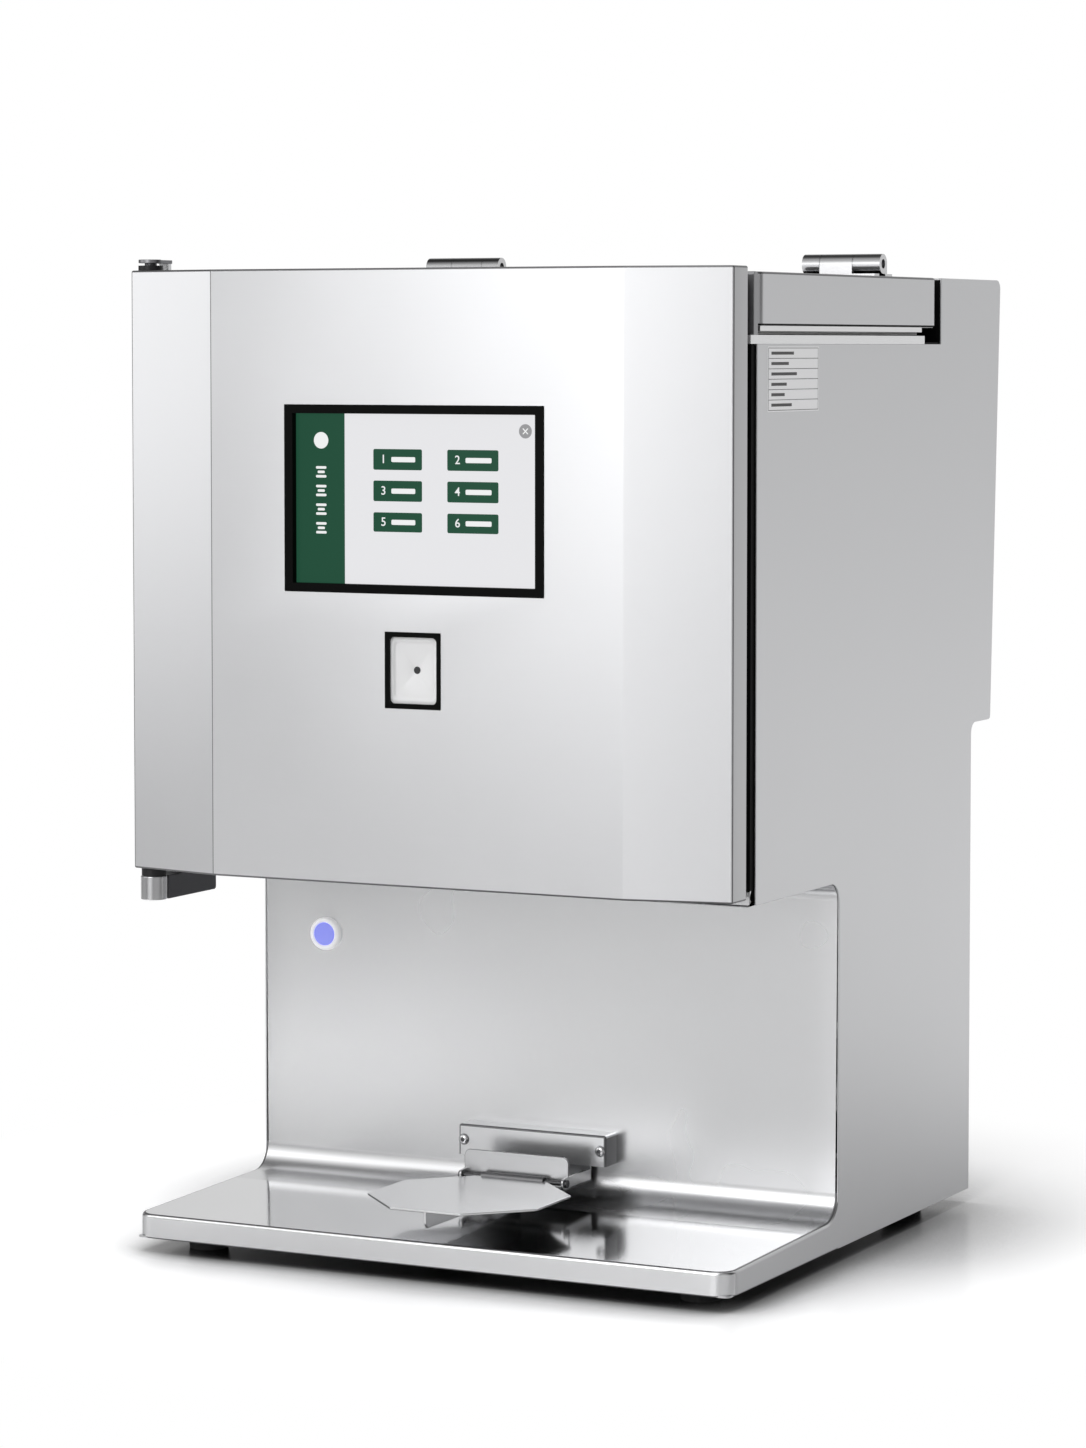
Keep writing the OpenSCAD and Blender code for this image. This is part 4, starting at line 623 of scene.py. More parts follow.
# A CAD node takes the finish named like its material slot, apart from these slots and nodes.
SLOT_FINISH = {"steel": "satin_front", "screen_glass": "screen_page"}
NODE_FINISH = {
    "scanner_lens": "lens_glass", "screen_frame": "frame_black", "scanner_frame": "frame_black",
    "breaker_strips": "black_and_gap_shade", "bulkhead": "black_and_gap_shade", "lid_liner": "lit_lid_plate",
    "lid_gasket": "seal_rubber", "hinge_pins": "dark_arm", "lid_hinge_leaves": "hinge_steel",
    "lid_hinge_bases": "hinge_steel",
}
# Rounding in millimetres of the edges of flat-faced CAD nodes that are kept.
SOFT_EDGES = {
    "screen_frame": 0.5, "scanner_frame": 0.5, "top_rim": 0.4, "lid_gasket": 0.4, "door_gasket": 0.6,
    "weigh_bar": 0.4, "power_supply": 0.8, "pump_cover": 0.8, "base_plate": 0.3,
}


# Pieces

class DISPENSER_OT_carried(bpy.types.Operator):
    """Gives every CAD node the finish of its material slot"""
    bl_idname = "dispenser.carried"
    bl_label = "Carried-over pieces"

    def execute(self, context):
        for name, node in NODES.items():
            slot = node.material_slots[0].material.name.split(".")[0]
            kind = NODE_FINISH.get(name, SLOT_FINISH.get(slot, slot))
            node.material_slots[0].material = finish(kind)
        for name, size in SOFT_EDGES.items():
            self.soften(NODES[name], size * MM)
        return {"FINISHED"}

    def soften(self, node, size):
        """Joins the node's faces and rounds its edges."""
        node.modifiers.new("joined", "WELD").merge_threshold = 1e-5
        rounded = node.modifiers.new("soft edges", "BEVEL")
        rounded.width = size
        rounded.segments = 3
        rounded.limit_method = "ANGLE"
        rounded.angle_limit = np.radians(50)
        rounded.use_clamp_overlap = True
        even = node.modifiers.new("even shading", "WEIGHTED_NORMAL")
        even.keep_sharp = False


class DISPENSER_OT_deck(bpy.types.Operator):
    """Builds deck, cove, column front and bay ceiling as one bent sheet"""
    bl_idname = "dispenser.deck"
    bl_label = "Deck and splash"

    def execute(self, context):
        size = context.scene.dispenser_casing
        low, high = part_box("deck_and_splash")
        edge = size.deck_edge
        corner = size.deck_corner
        cove_at = COLUMN_Y - size.cove
        front_z = low.z + size.skirt
        back_z = front_z + size.deck_rise
        # The profile runs back over the deck, up the cove and the column, and forward along the ceiling.
        swing = np.radians(np.linspace(0, 90, 7))
        corner_y = low.y + corner - (corner - edge) * np.cos(swing)
        corner_x = HALF_W - corner + (corner - edge) * np.sin(swing)
        deck_y = np.concatenate([corner_y, np.linspace(corner_y[-1], cove_at, 6)[1:-1]])
        deck_z = front_z + size.deck_rise * (deck_y - low.y) / (cove_at - low.y)
        cove = arc((cove_at, back_z + size.cove), size.cove, -90, 0, 14)
        inner = size.ceiling_bend
        bend = arc((COLUMN_Y - inner, CEILING_Z - inner), inner, 0, 90, 12)
        # The ceiling ends in a lip: two small arcs turn it up and back to the front of the box.
        curl = 1.2 * MM
        lip_y = FRONT - 7 * MM
        lip = soft_outline([(low.y, CEILING_Z), (lip_y, CEILING_Z), (lip_y, high.z), (FRONT, high.z),
                            (FRONT, 1.0), (low.y, 1.0)], [0, curl, curl, 0, 0, 0], 4)[5:16]
        profile = np.concatenate([np.stack([deck_y, deck_z], 1), cove, bend, lip])
        last = len(deck_y) + len(cove)
        # A fine gap stays open between the column and the side panels.
        reach = np.full(len(profile), HALF_W - SHEET - 0.5 * MM)
        reach[:last] = HALF_W - edge
        reach[:len(corner_x)] = corner_x
        across = np.linspace(-1, 1, 25)
        sheet = np.stack([reach[:, None] * across, np.repeat(profile[:, :1], len(across), 1),
                          np.repeat(profile[:, 1:], len(across), 1)], -1)
        column, dark_edge, skirt, shaded_skirt_end = range(1, 5)
        shell = Shell()
        shell.grid(sheet[:len(deck_y)])
        shell.grid(sheet[len(deck_y) - 1:], paint=column)
        # The rolled edge follows the sheet's rim from the cove's left end round the front to its right end.
        # Ring by ring it moves out by edge * sin t and down the sheet's normal by edge * (1 - cos t).
        slope = np.gradient(profile[:last], axis=0)
        slope /= np.linalg.norm(slope, axis=1, keepdims=True)
        up = np.stack([np.zeros(last), -slope[:, 1], slope[:, 0]], 1)
        up[-1] = (0, -1, 0)
        out = np.tile([1.0, 0, 0], (last, 1))
        out[:len(swing)] = np.stack([np.sin(swing), -np.cos(swing), 0 * swing], 1)
        mirror = np.array([-1.0, 1, 1])
        front = len(across) - 2
        rim = np.concatenate([sheet[:last, 0][::-1], sheet[0, 1:-1], sheet[:last, -1]])
        rim_out = np.concatenate([(out * mirror)[::-1], np.tile([0, -1.0, 0], (front, 1)), out])
        rim_up = np.concatenate([up[::-1], np.tile(up[0], (front, 1)), up])
        turn = np.linspace(0, np.pi / 2, 6)[:, None, None]
        stand = edge - 0.15 * MM
        roll = rim + stand * np.sin(turn) * rim_out - edge * (1 - np.cos(turn)) * rim_up
        # The hem turns in below the skirt, by curl * (1 - cos t) inwards and curl * sin t down, to a flange.
        foot = roll[-1] * np.array([1, 1, 0]) + np.array([0, 0, low.z + curl])
        hem = foot - curl * (1 - np.cos(turn)) * rim_out - curl * np.sin(turn) * np.array([0, 0, 1])
        flange = hem[-1] - 10 * MM * rim_out
        # The roll starts and the hem ends in painted dark reflection; the skirt between them is painted
        # lighter, as light.
        rows = np.repeat([[dark_edge]] * 2 + [[skirt]] * 4 + [[dark_edge]] * 5 + [[skirt]], len(rim) - 1, 1)
        # At the deck's ends the skirt takes the sides' darker satin, as painted shade.
        beside = (abs(rim_out[:-1, 0]) > 0.95) & (abs(rim_out[1:, 0]) > 0.95)
        rows[2:6, beside] = shaded_skirt_end
        shell.grid(np.concatenate([roll, hem, flange[None]]), flip=True, paint=rows)
        # Ends of the turned-up front edge of the ceiling.
        for side in (-1, 1):
            close = sheet[-len(lip):, 0 if side < 0 else -1]
            shell.cap(close, flip=side > 0)
        shell.build("deck_sheet", ["deck_steel", "column_steel", "painted_dark_edge", "lit_skirt_steel", "side_shaded_satin"],
                    "cabinet", ["deck_and_splash"], wall=1 * MM)
        return {"FINISHED"}


class DISPENSER_OT_side_panels(bpy.types.Operator):
    """Builds the two side panels from their outline seen along X"""
    bl_idname = "dispenser.side_panels"
    bl_label = "Side panels"

    def execute(self, context):
        size = context.scene.dispenser_casing
        low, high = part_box("right_side_panel")
        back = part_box("lower_back_panel")[1].y
        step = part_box("lower_back_panel")[1].z + 10 * MM
        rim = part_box("top_rim")[0].z
        box_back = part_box("rear_hood")[0].y
        lean = 19 * MM
        corners = [(COLUMN_Y, low.z), (back, low.z), (back, step), (high.y - lean, step), (high.y, high.z),
                   (box_back, high.z), (box_back, rim), (FRONT, rim), (FRONT, CEILING_Z),
                   (COLUMN_Y, CEILING_Z)]
        radii = np.array([0.6, 0.6, 10, 4, 8, 0.8, 0.8, 0.6, 0.8, 16]) * MM
        outline = soft_outline(corners, radii, 8)
        for name, side in (("left_side_panel", -1), ("right_side_panel", 1)):
            near, far = sorted((side * (HALF_W - SHEET), side * (HALF_W - FILM)))
            shell = Shell()
            shell.prism(outline, near, far, SIDE, size.panel_edge)
            shell.build(name + "_sheet", ["side_shaded_satin"], "cabinet", [name])
        return {"FINISHED"}


class DISPENSER_OT_door(bpy.types.Operator):
    """Builds the door's skin with its two sloping bands and its screen and scanner openings"""
    bl_idname = "dispenser.door"
    bl_label = "Door skin"

    def execute(self, context):
        size = context.scene.dispenser_door
        low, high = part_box("door_skin")
        seam = high.y
        edge_y = low.y + size.bow
        flat = HALF_W - size.band
        corners = [(HALF_W, seam), (-HALF_W, seam), (-HALF_W, edge_y), (-flat, low.y), (flat, low.y),
                   (HALF_W, edge_y)]
        steps = 8
        outline = soft_outline(corners, [0, 0, size.edge, size.bend, size.bend, size.edge], steps)
        # The rim starts at the open back on the left and ends there on the right.
        rim = np.roll(outline, -(2 * steps + 1), 0)[:-2 * steps]
        first_flat = 1 + 2 * (steps + 1)
        holes = []
        lap = 1.5 * MM
        for node in ("screen_frame", "scanner_frame"):
            hole_low, hole_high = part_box(node)
            holes.append((hole_high.x - lap, hole_low.z + lap, hole_high.z - lap))
        cut_x = np.array(sorted(s * h[0] for h in holes for s in (-1, 1)))
        rim = np.concatenate([rim[:first_flat], np.stack([cut_x, np.full(4, low.y)], 1), rim[first_flat:]])
        turn = np.linspace(0, np.pi / 2, 5)
        inset = size.edge * (1 - np.sin(turn))
        rise = size.edge * (1 - np.cos(turn))
        cut_z = sorted(z for h in holes for z in h[1:])
        level = np.concatenate([low.z + rise, cut_z, high.z - rise[::-1]])
        inset = np.concatenate([inset, np.zeros(len(cut_z)), inset[::-1]])
        ring = np.stack([drawn_in(rim, i) for i in inset])
        ring[:, [0, -1], 1] = seam
        points = stacked(ring, level, PLAN)
        centre = 0.25 * (points[:-1, :-1] + points[1:, :-1] + points[:-1, 1:] + points[1:, 1:])
        keep = np.ones(centre.shape[:2], bool)
        for half, bottom, top in holes:
            inside = (abs(centre[..., 0]) < half) & (centre[..., 2] > bottom) & (centre[..., 2] < top)
            keep &= ~(inside & (centre[..., 1] < low.y + 0.1 * MM))
        # Painted dark reflection runs along the rims, the left edge, the left bend and the outer half of the
        # right edge.
        # The returns to the seam are painted darker, as shade.
        front, dark_edge, shaded_return = range(3)
        paint = np.full(keep.shape, front)
        paint[:, 1:1 + steps] = dark_edge
        paint[:, 2 + steps:2 + 2 * steps] = dark_edge
        paint[:, -1 - steps // 2:-1] = dark_edge
        paint[:, [0, -1]] = shaded_return
        paint[:len(rise) - 1] = dark_edge
        paint[1 - len(rise):] = dark_edge
        shell = Shell()
        shell.grid(points, keep=keep, paint=paint)
        shell.cap(points[0], flip=True)
        shell.cap(points[-1])
        shell.build("door_sheet", ["satin_front", "painted_dark_edge", "shaded_return_steel"], "door",
                    ["door_skin"], wall=SHEET)
        return {"FINISHED"}


class DISPENSER_OT_lid(bpy.types.Operator):
    """Builds the lid's skin and the rail in front of it"""
    bl_idname = "dispenser.lid"
    bl_label = "Lid and rail"

    def execute(self, context):
        low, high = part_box("lid_skin")
        centre = ((low.x + high.x) / 2, (low.y + high.y) / 2)
        outline = soft_outline(rectangle(centre, high.x - low.x, high.y - low.y), 6 * MM, 8)
        # The lid's lower rounding is painted black as a shadow line, and its upper rounding as dark
        # reflection.
        shadow, dark_edge = 1, 2
        lid = Shell()
        lid.prism(outline, low.z, high.z, PLAN, 1.8 * MM, 4, ends=(False, True), rims=(shadow, dark_edge))
        lid.build("lid_sheet", ["side_shaded_satin", "black_and_gap_shade", "painted_dark_edge"], "lid", ["lid_skin"],
                  wall=1.2 * MM)
        low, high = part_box("front_rail")
        shape = soft_outline([(low.y, low.z), (high.y, low.z), (high.y, high.z), (low.y, high.z)],
                             np.array([0.5, 0.5, 3, 3]) * MM, 6)
        rail = Shell()
        rail.prism(shape, low.x, high.x, SIDE, 0.5 * MM)
        rail.build("rail_bar", ["shaded_rail_steel"], "cabinet", ["front_rail"])
        return {"FINISHED"}


class DISPENSER_OT_button(bpy.types.Operator):
    """Turns the white bezel and the blue cap of the start button"""
    bl_idname = "dispenser.button"
    bl_label = "Start button"

    def execute(self, context):
        low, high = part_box("button_body")
        cap_low, cap_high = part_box("button_cap")
        x = (low.x + high.x) / 2
        z = (low.z + high.z) / 2
        radius = (high.x - low.x) / 2
        hole = (cap_high.x - cap_low.x) / 2
        face = COLUMN_Y - low.y
        # Radius and height above the column in millimetres, from the barrel's end round the bezel and down
        # into its bore.
        barrel = [(8, -30), (11, -29.4), (11, -0.2), (radius / MM, 0)]
        dome = arc((radius / MM - 2.6, face / MM - 2.6), 2.6, 0, 90, 8)
        bore = arc((hole / MM + 1.3, face / MM - 1.1), 1.1, 90, 180, 6)
        profile = np.concatenate([barrel, dome, bore, [(hole / MM + 0.2, -6), (0, -6)]]) * MM
        body = Shell()
        body.lathe(profile, (x, COLUMN_Y, z), FACE, 96)
        body.build("button_bezel", ["button_white"], "cabinet", ["button_body"])
        # The cap's face rises from its shoulder to its middle along a smooth step.
        top = COLUMN_Y - cap_low.y
        rise = 0.4 * MM
        round_off = 0.9 * MM
        stem = 4 * MM
        crown = np.linspace(0, 1, 9)
        shoulder = arc((hole - round_off, top - rise - round_off), round_off, 0, 80, 6)
        raised = top - rise + rise * crown ** 2 * (3 - 2 * crown)
        face = np.stack([(hole - round_off) * (1 - crown), raised], 1)
        skirt = [(stem, -20 * MM), (stem, -5.2 * MM), (hole, -5.0 * MM)]
        profile = np.concatenate([skirt, shoulder, face])
        cap = Shell()
        cap.lathe(profile, (x, COLUMN_Y, z), FACE, 96)
        cap.build("button_face", ["blue_plastic"], "start_button", ["button_cap"])
        return {"FINISHED"}


class DISPENSER_OT_screen(bpy.types.Operator):
    """Lays out the screen's picture: a page, a side bar, six buttons with numbers and a close mark"""
    bl_idname = "dispenser.screen"
    bl_label = "Screen picture"

    def execute(self, context):
        low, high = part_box("screen_panel")
        width = 217 * MM
        height = 135.6 * MM
        glass_y = low.y
        middle = (low.z + high.z) / 2
        corner = np.array([-width / 2, middle + height / 2])

        def at(x, y):
            """A place on the page from shares of its width and height, counted from its upper left."""
            return corner + np.array([x * width, -y * height])

        def plate(outline, layer, paint):
            """A thin field, raised by that number of layers."""
            top = -glass_y + layer * LAYER
            shell.prism(outline, -glass_y - 0.02 * MM, top, FACE, 0.01 * MM, 1, paint)

        def field(left, right, top, bottom, radius, layer, paint):
            """A rounded rectangle between shares of the page."""
            first = at(left, bottom)
            second = at(right, top)
            box = rectangle((first + second) / 2, second[0] - first[0], second[1] - first[1])
            plate(soft_outline(box, radius, 6), layer, paint)

        def disc(x, y, radius, layer, paint):
            """A round field."""
            plate(arc(at(x, y), radius, 0, 360, 48)[:-1], layer, paint)

        def number(text, x, y, tall, layer, paint):
            """A numeral, centred on a place of the page."""
            curve = bpy.data.curves.new("numeral", "FONT")
            curve.body = text
            curve.size = tall
            curve.align_x = "CENTER"
            curve.align_y = "CENTER"
            curve.offset = 0.06 * MM
            curve.extrude = 0.06 * MM
            holder = bpy.data.objects.new("numeral", curve)
            bpy.context.scene.collection.objects.link(holder)
            flat = bpy.data.meshes.new_from_object(holder)
            flat_points = np.empty(len(flat.vertices) * 3)
            flat.vertices.foreach_get("co", flat_points)
            flat_points = flat_points.reshape(-1, 3)
            spot = at(x, y)
            lift = glass_y - layer * LAYER - flat_points[:, 2]
            shell.add(np.stack([flat_points[:, 0] + spot[0], lift, flat_points[:, 1] + spot[1]], 1),
                      [list(p.vertices) for p in flat.polygons], paint)
            bpy.data.objects.remove(holder)
            bpy.data.curves.remove(curve)
            bpy.data.meshes.remove(flat)

        shell = Shell()
        page, green, ink, grey = range(4)
        glass = rectangle((0, middle), high.x - low.x, high.z - low.z)
        shell.prism(glass, -high.y, -low.y, FACE, 0.2 * MM, 2, page)
        field(-0.004, 0.204, -0.004, 1.004, 0.1 * MM, 1, green)
        # The side bar has a round spot and four marks of three short bars each.
        bar_x = 0.105
        thin = 0.0075
        disc(bar_x, 0.159, 6.6 * MM, 2, ink)
        for row in (0.345, 0.455, 0.565, 0.675):
            for shift, half in ((-0.026, 0.022), (0.0, 0.015), (0.026, 0.022)):
                line = row + shift
                field(bar_x - half, bar_x + half, line - thin, line + thin, 0.9 * MM, 2, ink)
        # Six buttons, each with its number and a plain bar.
        rows = ((0.206, 0.328), (0.391, 0.512), (0.577, 0.691))
        columns = ((0.324, 0.526), (0.630, 0.839))
        label = 1
        for top, bottom in rows:
            for left, right in columns:
                line = (top + bottom) / 2
                field(left, right, top, bottom, 1.4 * MM, 1, green)
                number(str(label), left + 0.042, line, 9.6 * MM, 2, ink)
                field(left + 0.075, right - 0.028, line - 0.015, line + 0.015, 1.0 * MM, 2, ink)
                label += 1
        close_x, close_y = 0.948, 0.095
        disc(close_x, close_y, 5.6 * MM, 1, grey)
        cross = at(close_x, close_y)
        slant = np.array([[1, 1], [-1, 1]]) / np.sqrt(2)
        bar = soft_outline(rectangle((0, 0), 6.4 * MM, 0.9 * MM), 0.4 * MM, 4)
        plate(bar @ slant + cross, 2, ink)
        plate(bar @ slant.T + cross, 2, ink)
        shell.build("screen_picture", ["screen_page", "screen_green", "screen_ink", "screen_grey"], "door",
                    ["screen_panel"])
        return {"FINISHED"}


class DISPENSER_OT_scanner(bpy.types.Operator):
    """Forms the white scanner window: a rim, a rounded step and a shallow dish around the lens"""
    bl_idname = "dispenser.scanner"
    bl_label = "Scanner window"

    def execute(self, context):
        low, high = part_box("scanner_window")
        lens_low, lens_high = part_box("scanner_lens")
        middle = np.array([(low.x + high.x) / 2, (low.z + high.z) / 2])
        eye = (lens_high.x - lens_low.x) / 2
        width = high.x - low.x
        height = high.z - low.z
        rim = evened(soft_outline(rectangle(middle, width, height), 4.2 * MM, 8), 160)
        # Each ring blends the rim's outline into the lens circle, and sinks along a smooth step and dish.
        part = np.concatenate([[0, 0.012, 0.03], np.linspace(0.10, 0.26, 9), np.linspace(0.3, 1, 12)])
        step = np.clip((part - 0.12) / 0.12, 0, 1)
        bowl = np.clip((part - 0.24) / 0.76, 0, 1)
        sunk = 1.6 * MM * step ** 2 * (3 - 2 * step) + 3.4 * MM * bowl ** 1.6
        sunk[0] = 0.5 * MM
        sunk[1] = 0.12 * MM
        turn = np.arctan2(rim[:, 1] - middle[1], rim[:, 0] - middle[0])
        circle = middle + eye * np.stack([np.cos(turn), np.sin(turn)], 1)
        flat = rim + part[:, None, None] * (circle - rim)
        dish = stacked(flat, -low.y - sunk, FACE)
        back = stacked(flat[:1], -low.y - 12 * MM, FACE)
        # The dish ends in a collar inside the lens.
        neck = middle + 0.94 * (circle - middle)
        collar = stacked(neck[None], -lens_low.y - 0.2 * MM, FACE)
        lens = 1
        window = Shell()
        window.grid(np.concatenate([back, dish]), around=True)
        window.grid(np.concatenate([dish[-1:], collar]), around=True, paint=lens)
        window.cap(collar[0], paint=lens)
        window.cap(back[0], flip=True)
        window.build("scanner_dish", ["white_plastic", "lens_glass"], "door",
                     ["scanner_window"])
        return {"FINISHED"}


class DISPENSER_OT_hinge_arm(bpy.types.Operator):
    """Turns the bright barrel of the lower door hinge and forms the arm that carries it, painted dark as
    shade
    """
    bl_idname = "dispenser.hinge_arm"
    bl_label = "Lower hinge"

    def execute(self, context):
        low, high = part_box("lower_hinge_bracket")
        radius = (high.x - low.x) / 2
        x = low.x + radius
        y = low.y + radius
        top = high.z - 1 * MM
        dark = 1
        hinge = Shell()
        rim = 0.8 * MM
        foot = arc((radius - rim, low.z + rim), rim, -90, 0, 4)
        head = arc((radius - rim, top - rim), rim, 0, 90, 4)
        bore = 5.4 * MM
        floor = top - 3 * MM
        barrel = np.concatenate([foot, head, [(bore, top), (bore, floor), (0, floor)]])
        hinge.lathe(barrel, (x, y, 0), PLAN, 72)
        arm = soft_outline([(y + 6 * MM, low.z), (high.y, low.z), (high.y, top), (y + 6 * MM, top)],
                           np.array([0.7, 2.5, 0.7, 0.7]) * MM, 5)
        hinge.prism(arm, low.x + 0.6 * MM, high.x - 0.3 * MM, SIDE, 0.6 * MM, 3, dark)
        seat = rectangle(((low.x + high.x) / 2, (FRONT + 6 * MM + high.y) / 2), high.x - low.x - 1 * MM,
                         high.y - FRONT - 6 * MM)
        hinge.prism(seat, top - 0.5 * MM, high.z, PLAN, 0.2 * MM, 2, dark)
        hinge.build("hinge_arm", ["chrome", "dark_arm"], "cabinet", ["lower_hinge_bracket"])
        return {"FINISHED"}


class DISPENSER_OT_hinge_plate(bpy.types.Operator):
    """Forms the thin plate over the door's upper pin and the bright block that it stands on"""
    bl_idname = "dispenser.hinge_plate"
    bl_label = "Upper hinge"

    def execute(self, context):
        low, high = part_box("upper_hinge_plate")
        bush_low, bush_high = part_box("door_bushes")
        x = (bush_low.x + bush_high.x) / 2
        radius = x - low.x
        thick = 2.9 * MM
        # The plate's near end is a half circle about the pin; its tail is straight.
        nose = arc((x, low.y + radius), radius, 180, 360, 24)
        neck = low.x + 11 * MM
        tail = [(low.x, low.y + radius), (neck, low.y + radius), (neck, high.y), (low.x, high.y)]
        outline = np.concatenate([nose, [(neck, low.y + radius)], soft_outline(tail, 1.0 * MM, 4)[10:]])
        hinge = Shell()
        hinge.prism(outline, high.z - thick, high.z, PLAN, 0.4 * MM)
        bright = 1
        deep = 6 * MM
        foot = soft_outline(rectangle((low.x + 5.5 * MM, high.y - deep / 2), 9 * MM, deep), 0.8 * MM, 4)
        hinge.prism(foot, low.z, high.z - thick + 0.5 * MM, PLAN, 0.4 * MM, 3, bright)
        hinge.build("hinge_top", ["dark_steel", "bright_steel"], "cabinet",
                    ["upper_hinge_plate"])
        return {"FINISHED"}


class DISPENSER_OT_cup_rest(bpy.types.Operator):
    """Builds the cover box with its screws, the carrier with its upstand, and the folding octagon"""
    bl_idname = "dispenser.cup_rest"
    bl_label = "Cup rest"

    def execute(self, context):
        self.cover()
        self.screws()
        self.carrier()
        self.plate()
        return {"FINISHED"}

    def cover(self):
        """A box bent from one sheet, open below and behind.

        Its outline runs up one side, across and down the other. Ring by ring towards the front it is drawn
        in by bend * (1 - sin t) while it comes forward by bend * cos t.
        """
        low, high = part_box("cup_cover")
        bend = 1.8 * MM
        steps = 6
        corners = [(high.x, low.z), (high.x, high.z), (low.x, high.z), (low.x, low.z)]
        outline = soft_outline(corners, np.array([0, 2.2, 2.2, 0]) * MM, steps)[steps:-steps]
        turn = np.linspace(np.pi / 2, 0, 6)
        inset = np.concatenate([[0], bend * (1 - np.sin(turn))])
        level = np.concatenate([[-high.y], bend * np.cos(turn) - bend - low.y])
        ring = np.stack([drawn_in(outline, i) for i in inset])
        ring[:, [0, -1], 1] = low.z
        points = stacked(ring, level, FACE)
        box = Shell()
        # The two sides are painted dark, as dark reflection, and the bend round the front as a dark edge.
        side, dark_edge = 1, 2
        paint = np.zeros((points.shape[0] - 1, points.shape[1] - 1), int)
        paint[:, [0, -1]] = side
        paint[1:] = dark_edge
        box.grid(points, paint=paint)
        box.cap(points[-1])
        box.build("cover_box", ["cover_steel", "shaded_cover_side", "painted_dark_edge"], "cabinet",
                  ["cup_cover"], wall=1.2 * MM)

    def screws(self):
        """Button heads: a dome, turned, with a six-sided socket sunk in it."""
        low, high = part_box("cover_screws")
        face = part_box("cup_cover")[0].y
        radius = (high.z - low.z) / 2
        tall = face - low.y
        swing = np.radians(np.linspace(4, 66, 8))
        dome = np.stack([radius * np.cos(swing), tall * np.sin(swing) / np.sin(swing[-1])], 1)
        socket = [(1.75 * MM, tall), (1.7 * MM, tall - 1.5 * MM), (0, tall - 1.8 * MM)]
        profile = np.concatenate([[(radius - 0.3 * MM, 0)], dome, socket])
        turn = np.linspace(0, 2 * np.pi, 72, endpoint=False)
        six = 1 / np.cos((turn % (np.pi / 3)) - np.pi / 6)
        shape = np.ones((len(profile), len(turn)))
        shape[-3:] = six
        # The rim and the socket are painted dark, as shade.
        dark = 1
        rows = np.zeros(len(profile) - 1, int)
        rows[[0, 1, -2, -1]] = dark
        pair = Shell()
        for x in (low.x + radius, high.x - radius):
            pair.lathe(profile, (x, face, (low.z + high.z) / 2), FACE, 72, shape=shape, rows=rows)
        pair.build("cover_screw_heads", ["chrome", "dark_arm"], "cabinet", ["cover_screws"],
                   sharp=50)

    def carrier(self):
        """A tray bent from sheet: an upstand with round corners, a floor, a back and ears for the pin."""
        low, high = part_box("cup_carrier")
        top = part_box("cup_plate")[1].z - TONGUE_RISE
        floor = top - 5 * MM
        under = floor - SHEET
        back = high.y
        tray = Shell()
        sheet = [(UPSTAND_Y, under), (back, under), (back, high.z), (back - SHEET, high.z),
                 (back - SHEET, floor), (UPSTAND_Y, floor)]
        bent = soft_outline(sheet, np.array([0.3, 2.4, 0.3, 0.3, 1.0, 0.3]) * MM, 5)
        tray.prism(bent, low.x, high.x, SIDE, 0.25 * MM)
        width = high.x - low.x
        tall = top + 20 * MM - under
        front = soft_outline(rectangle((0, under + tall / 2), width, tall),
                             np.array([0.6, 0.6, 5.5, 5.5]) * MM, 8)
        # The upstand's front rims are painted as dark edges, as shade.
        dark_edge = 1
        tray.prism(front, -(UPSTAND_Y + SHEET), -UPSTAND_Y, FACE, 0.5 * MM, rims=(dark_edge, dark_edge))
        pin_z = top - 1 * MM
        ear_top = top + 4 * MM
        ear = [(low.y, pin_z - PIN_ROLL), (UPSTAND_Y, under), (back, under), (back, ear_top),
               (UPSTAND_Y, ear_top), (low.y, pin_z + PIN_ROLL)]
        ear = soft_outline(ear, np.array([3.5, 0.5, 0.5, 1.5, 0.5, 3.5]) * MM, 6)
        for side in (-1, 1):
            near, far = sorted((side * (width / 2 - 2 * MM), side * width / 2))
            tray.prism(ear, near, far, SIDE, 0.4 * MM)
        tray.build("cup_tray", ["tray_steel", "painted_dark_edge"], "cabinet", ["cup_carrier"])

    def plate(self):
        """An octagon of sheet with a tongue rolled round the pin and a deep rib under its middle."""
        low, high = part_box("cup_plate")
        top = high.z - TONGUE_RISE
        under = top - 2 * MM
        flats = high.x - low.x
        half_side = np.radians(22.5)
        turn = half_side + np.radians(45) * np.arange(8)
        reach = flats / 2 / np.cos(half_side)
        corners = np.array([0.0, low.y + flats / 2]) + reach * np.stack([np.cos(turn), np.sin(turn)], 1)
        # The plate's lower rounding and the roll round the pin are painted dark, as shade in the gap to the
        # upstand.
        dark_edge = 1
        rest = Shell()
        rest.prism(soft_outline(corners, 1.0 * MM, 3), under, top, PLAN, 0.45 * MM, rims=(dark_edge, None))
        # The tongue is a little narrower than a side of the octagon and starts just inside it.
        half = flats * (np.sqrt(2) - 1) / 2 - 3 * MM
        start = low.y + flats - 1 * MM
        tongue = rectangle((0, (start + PIN_Y) / 2), 2 * half, PIN_Y - start)
        rest.prism(tongue, under, top, PLAN, 0.3 * MM)
        roll = arc((PIN_Y, top - 1 * MM), PIN_ROLL, 0, 360, 48)[:-1]
        rest.prism(roll, -half, half, SIDE, 0.4 * MM, 3, dark_edge)
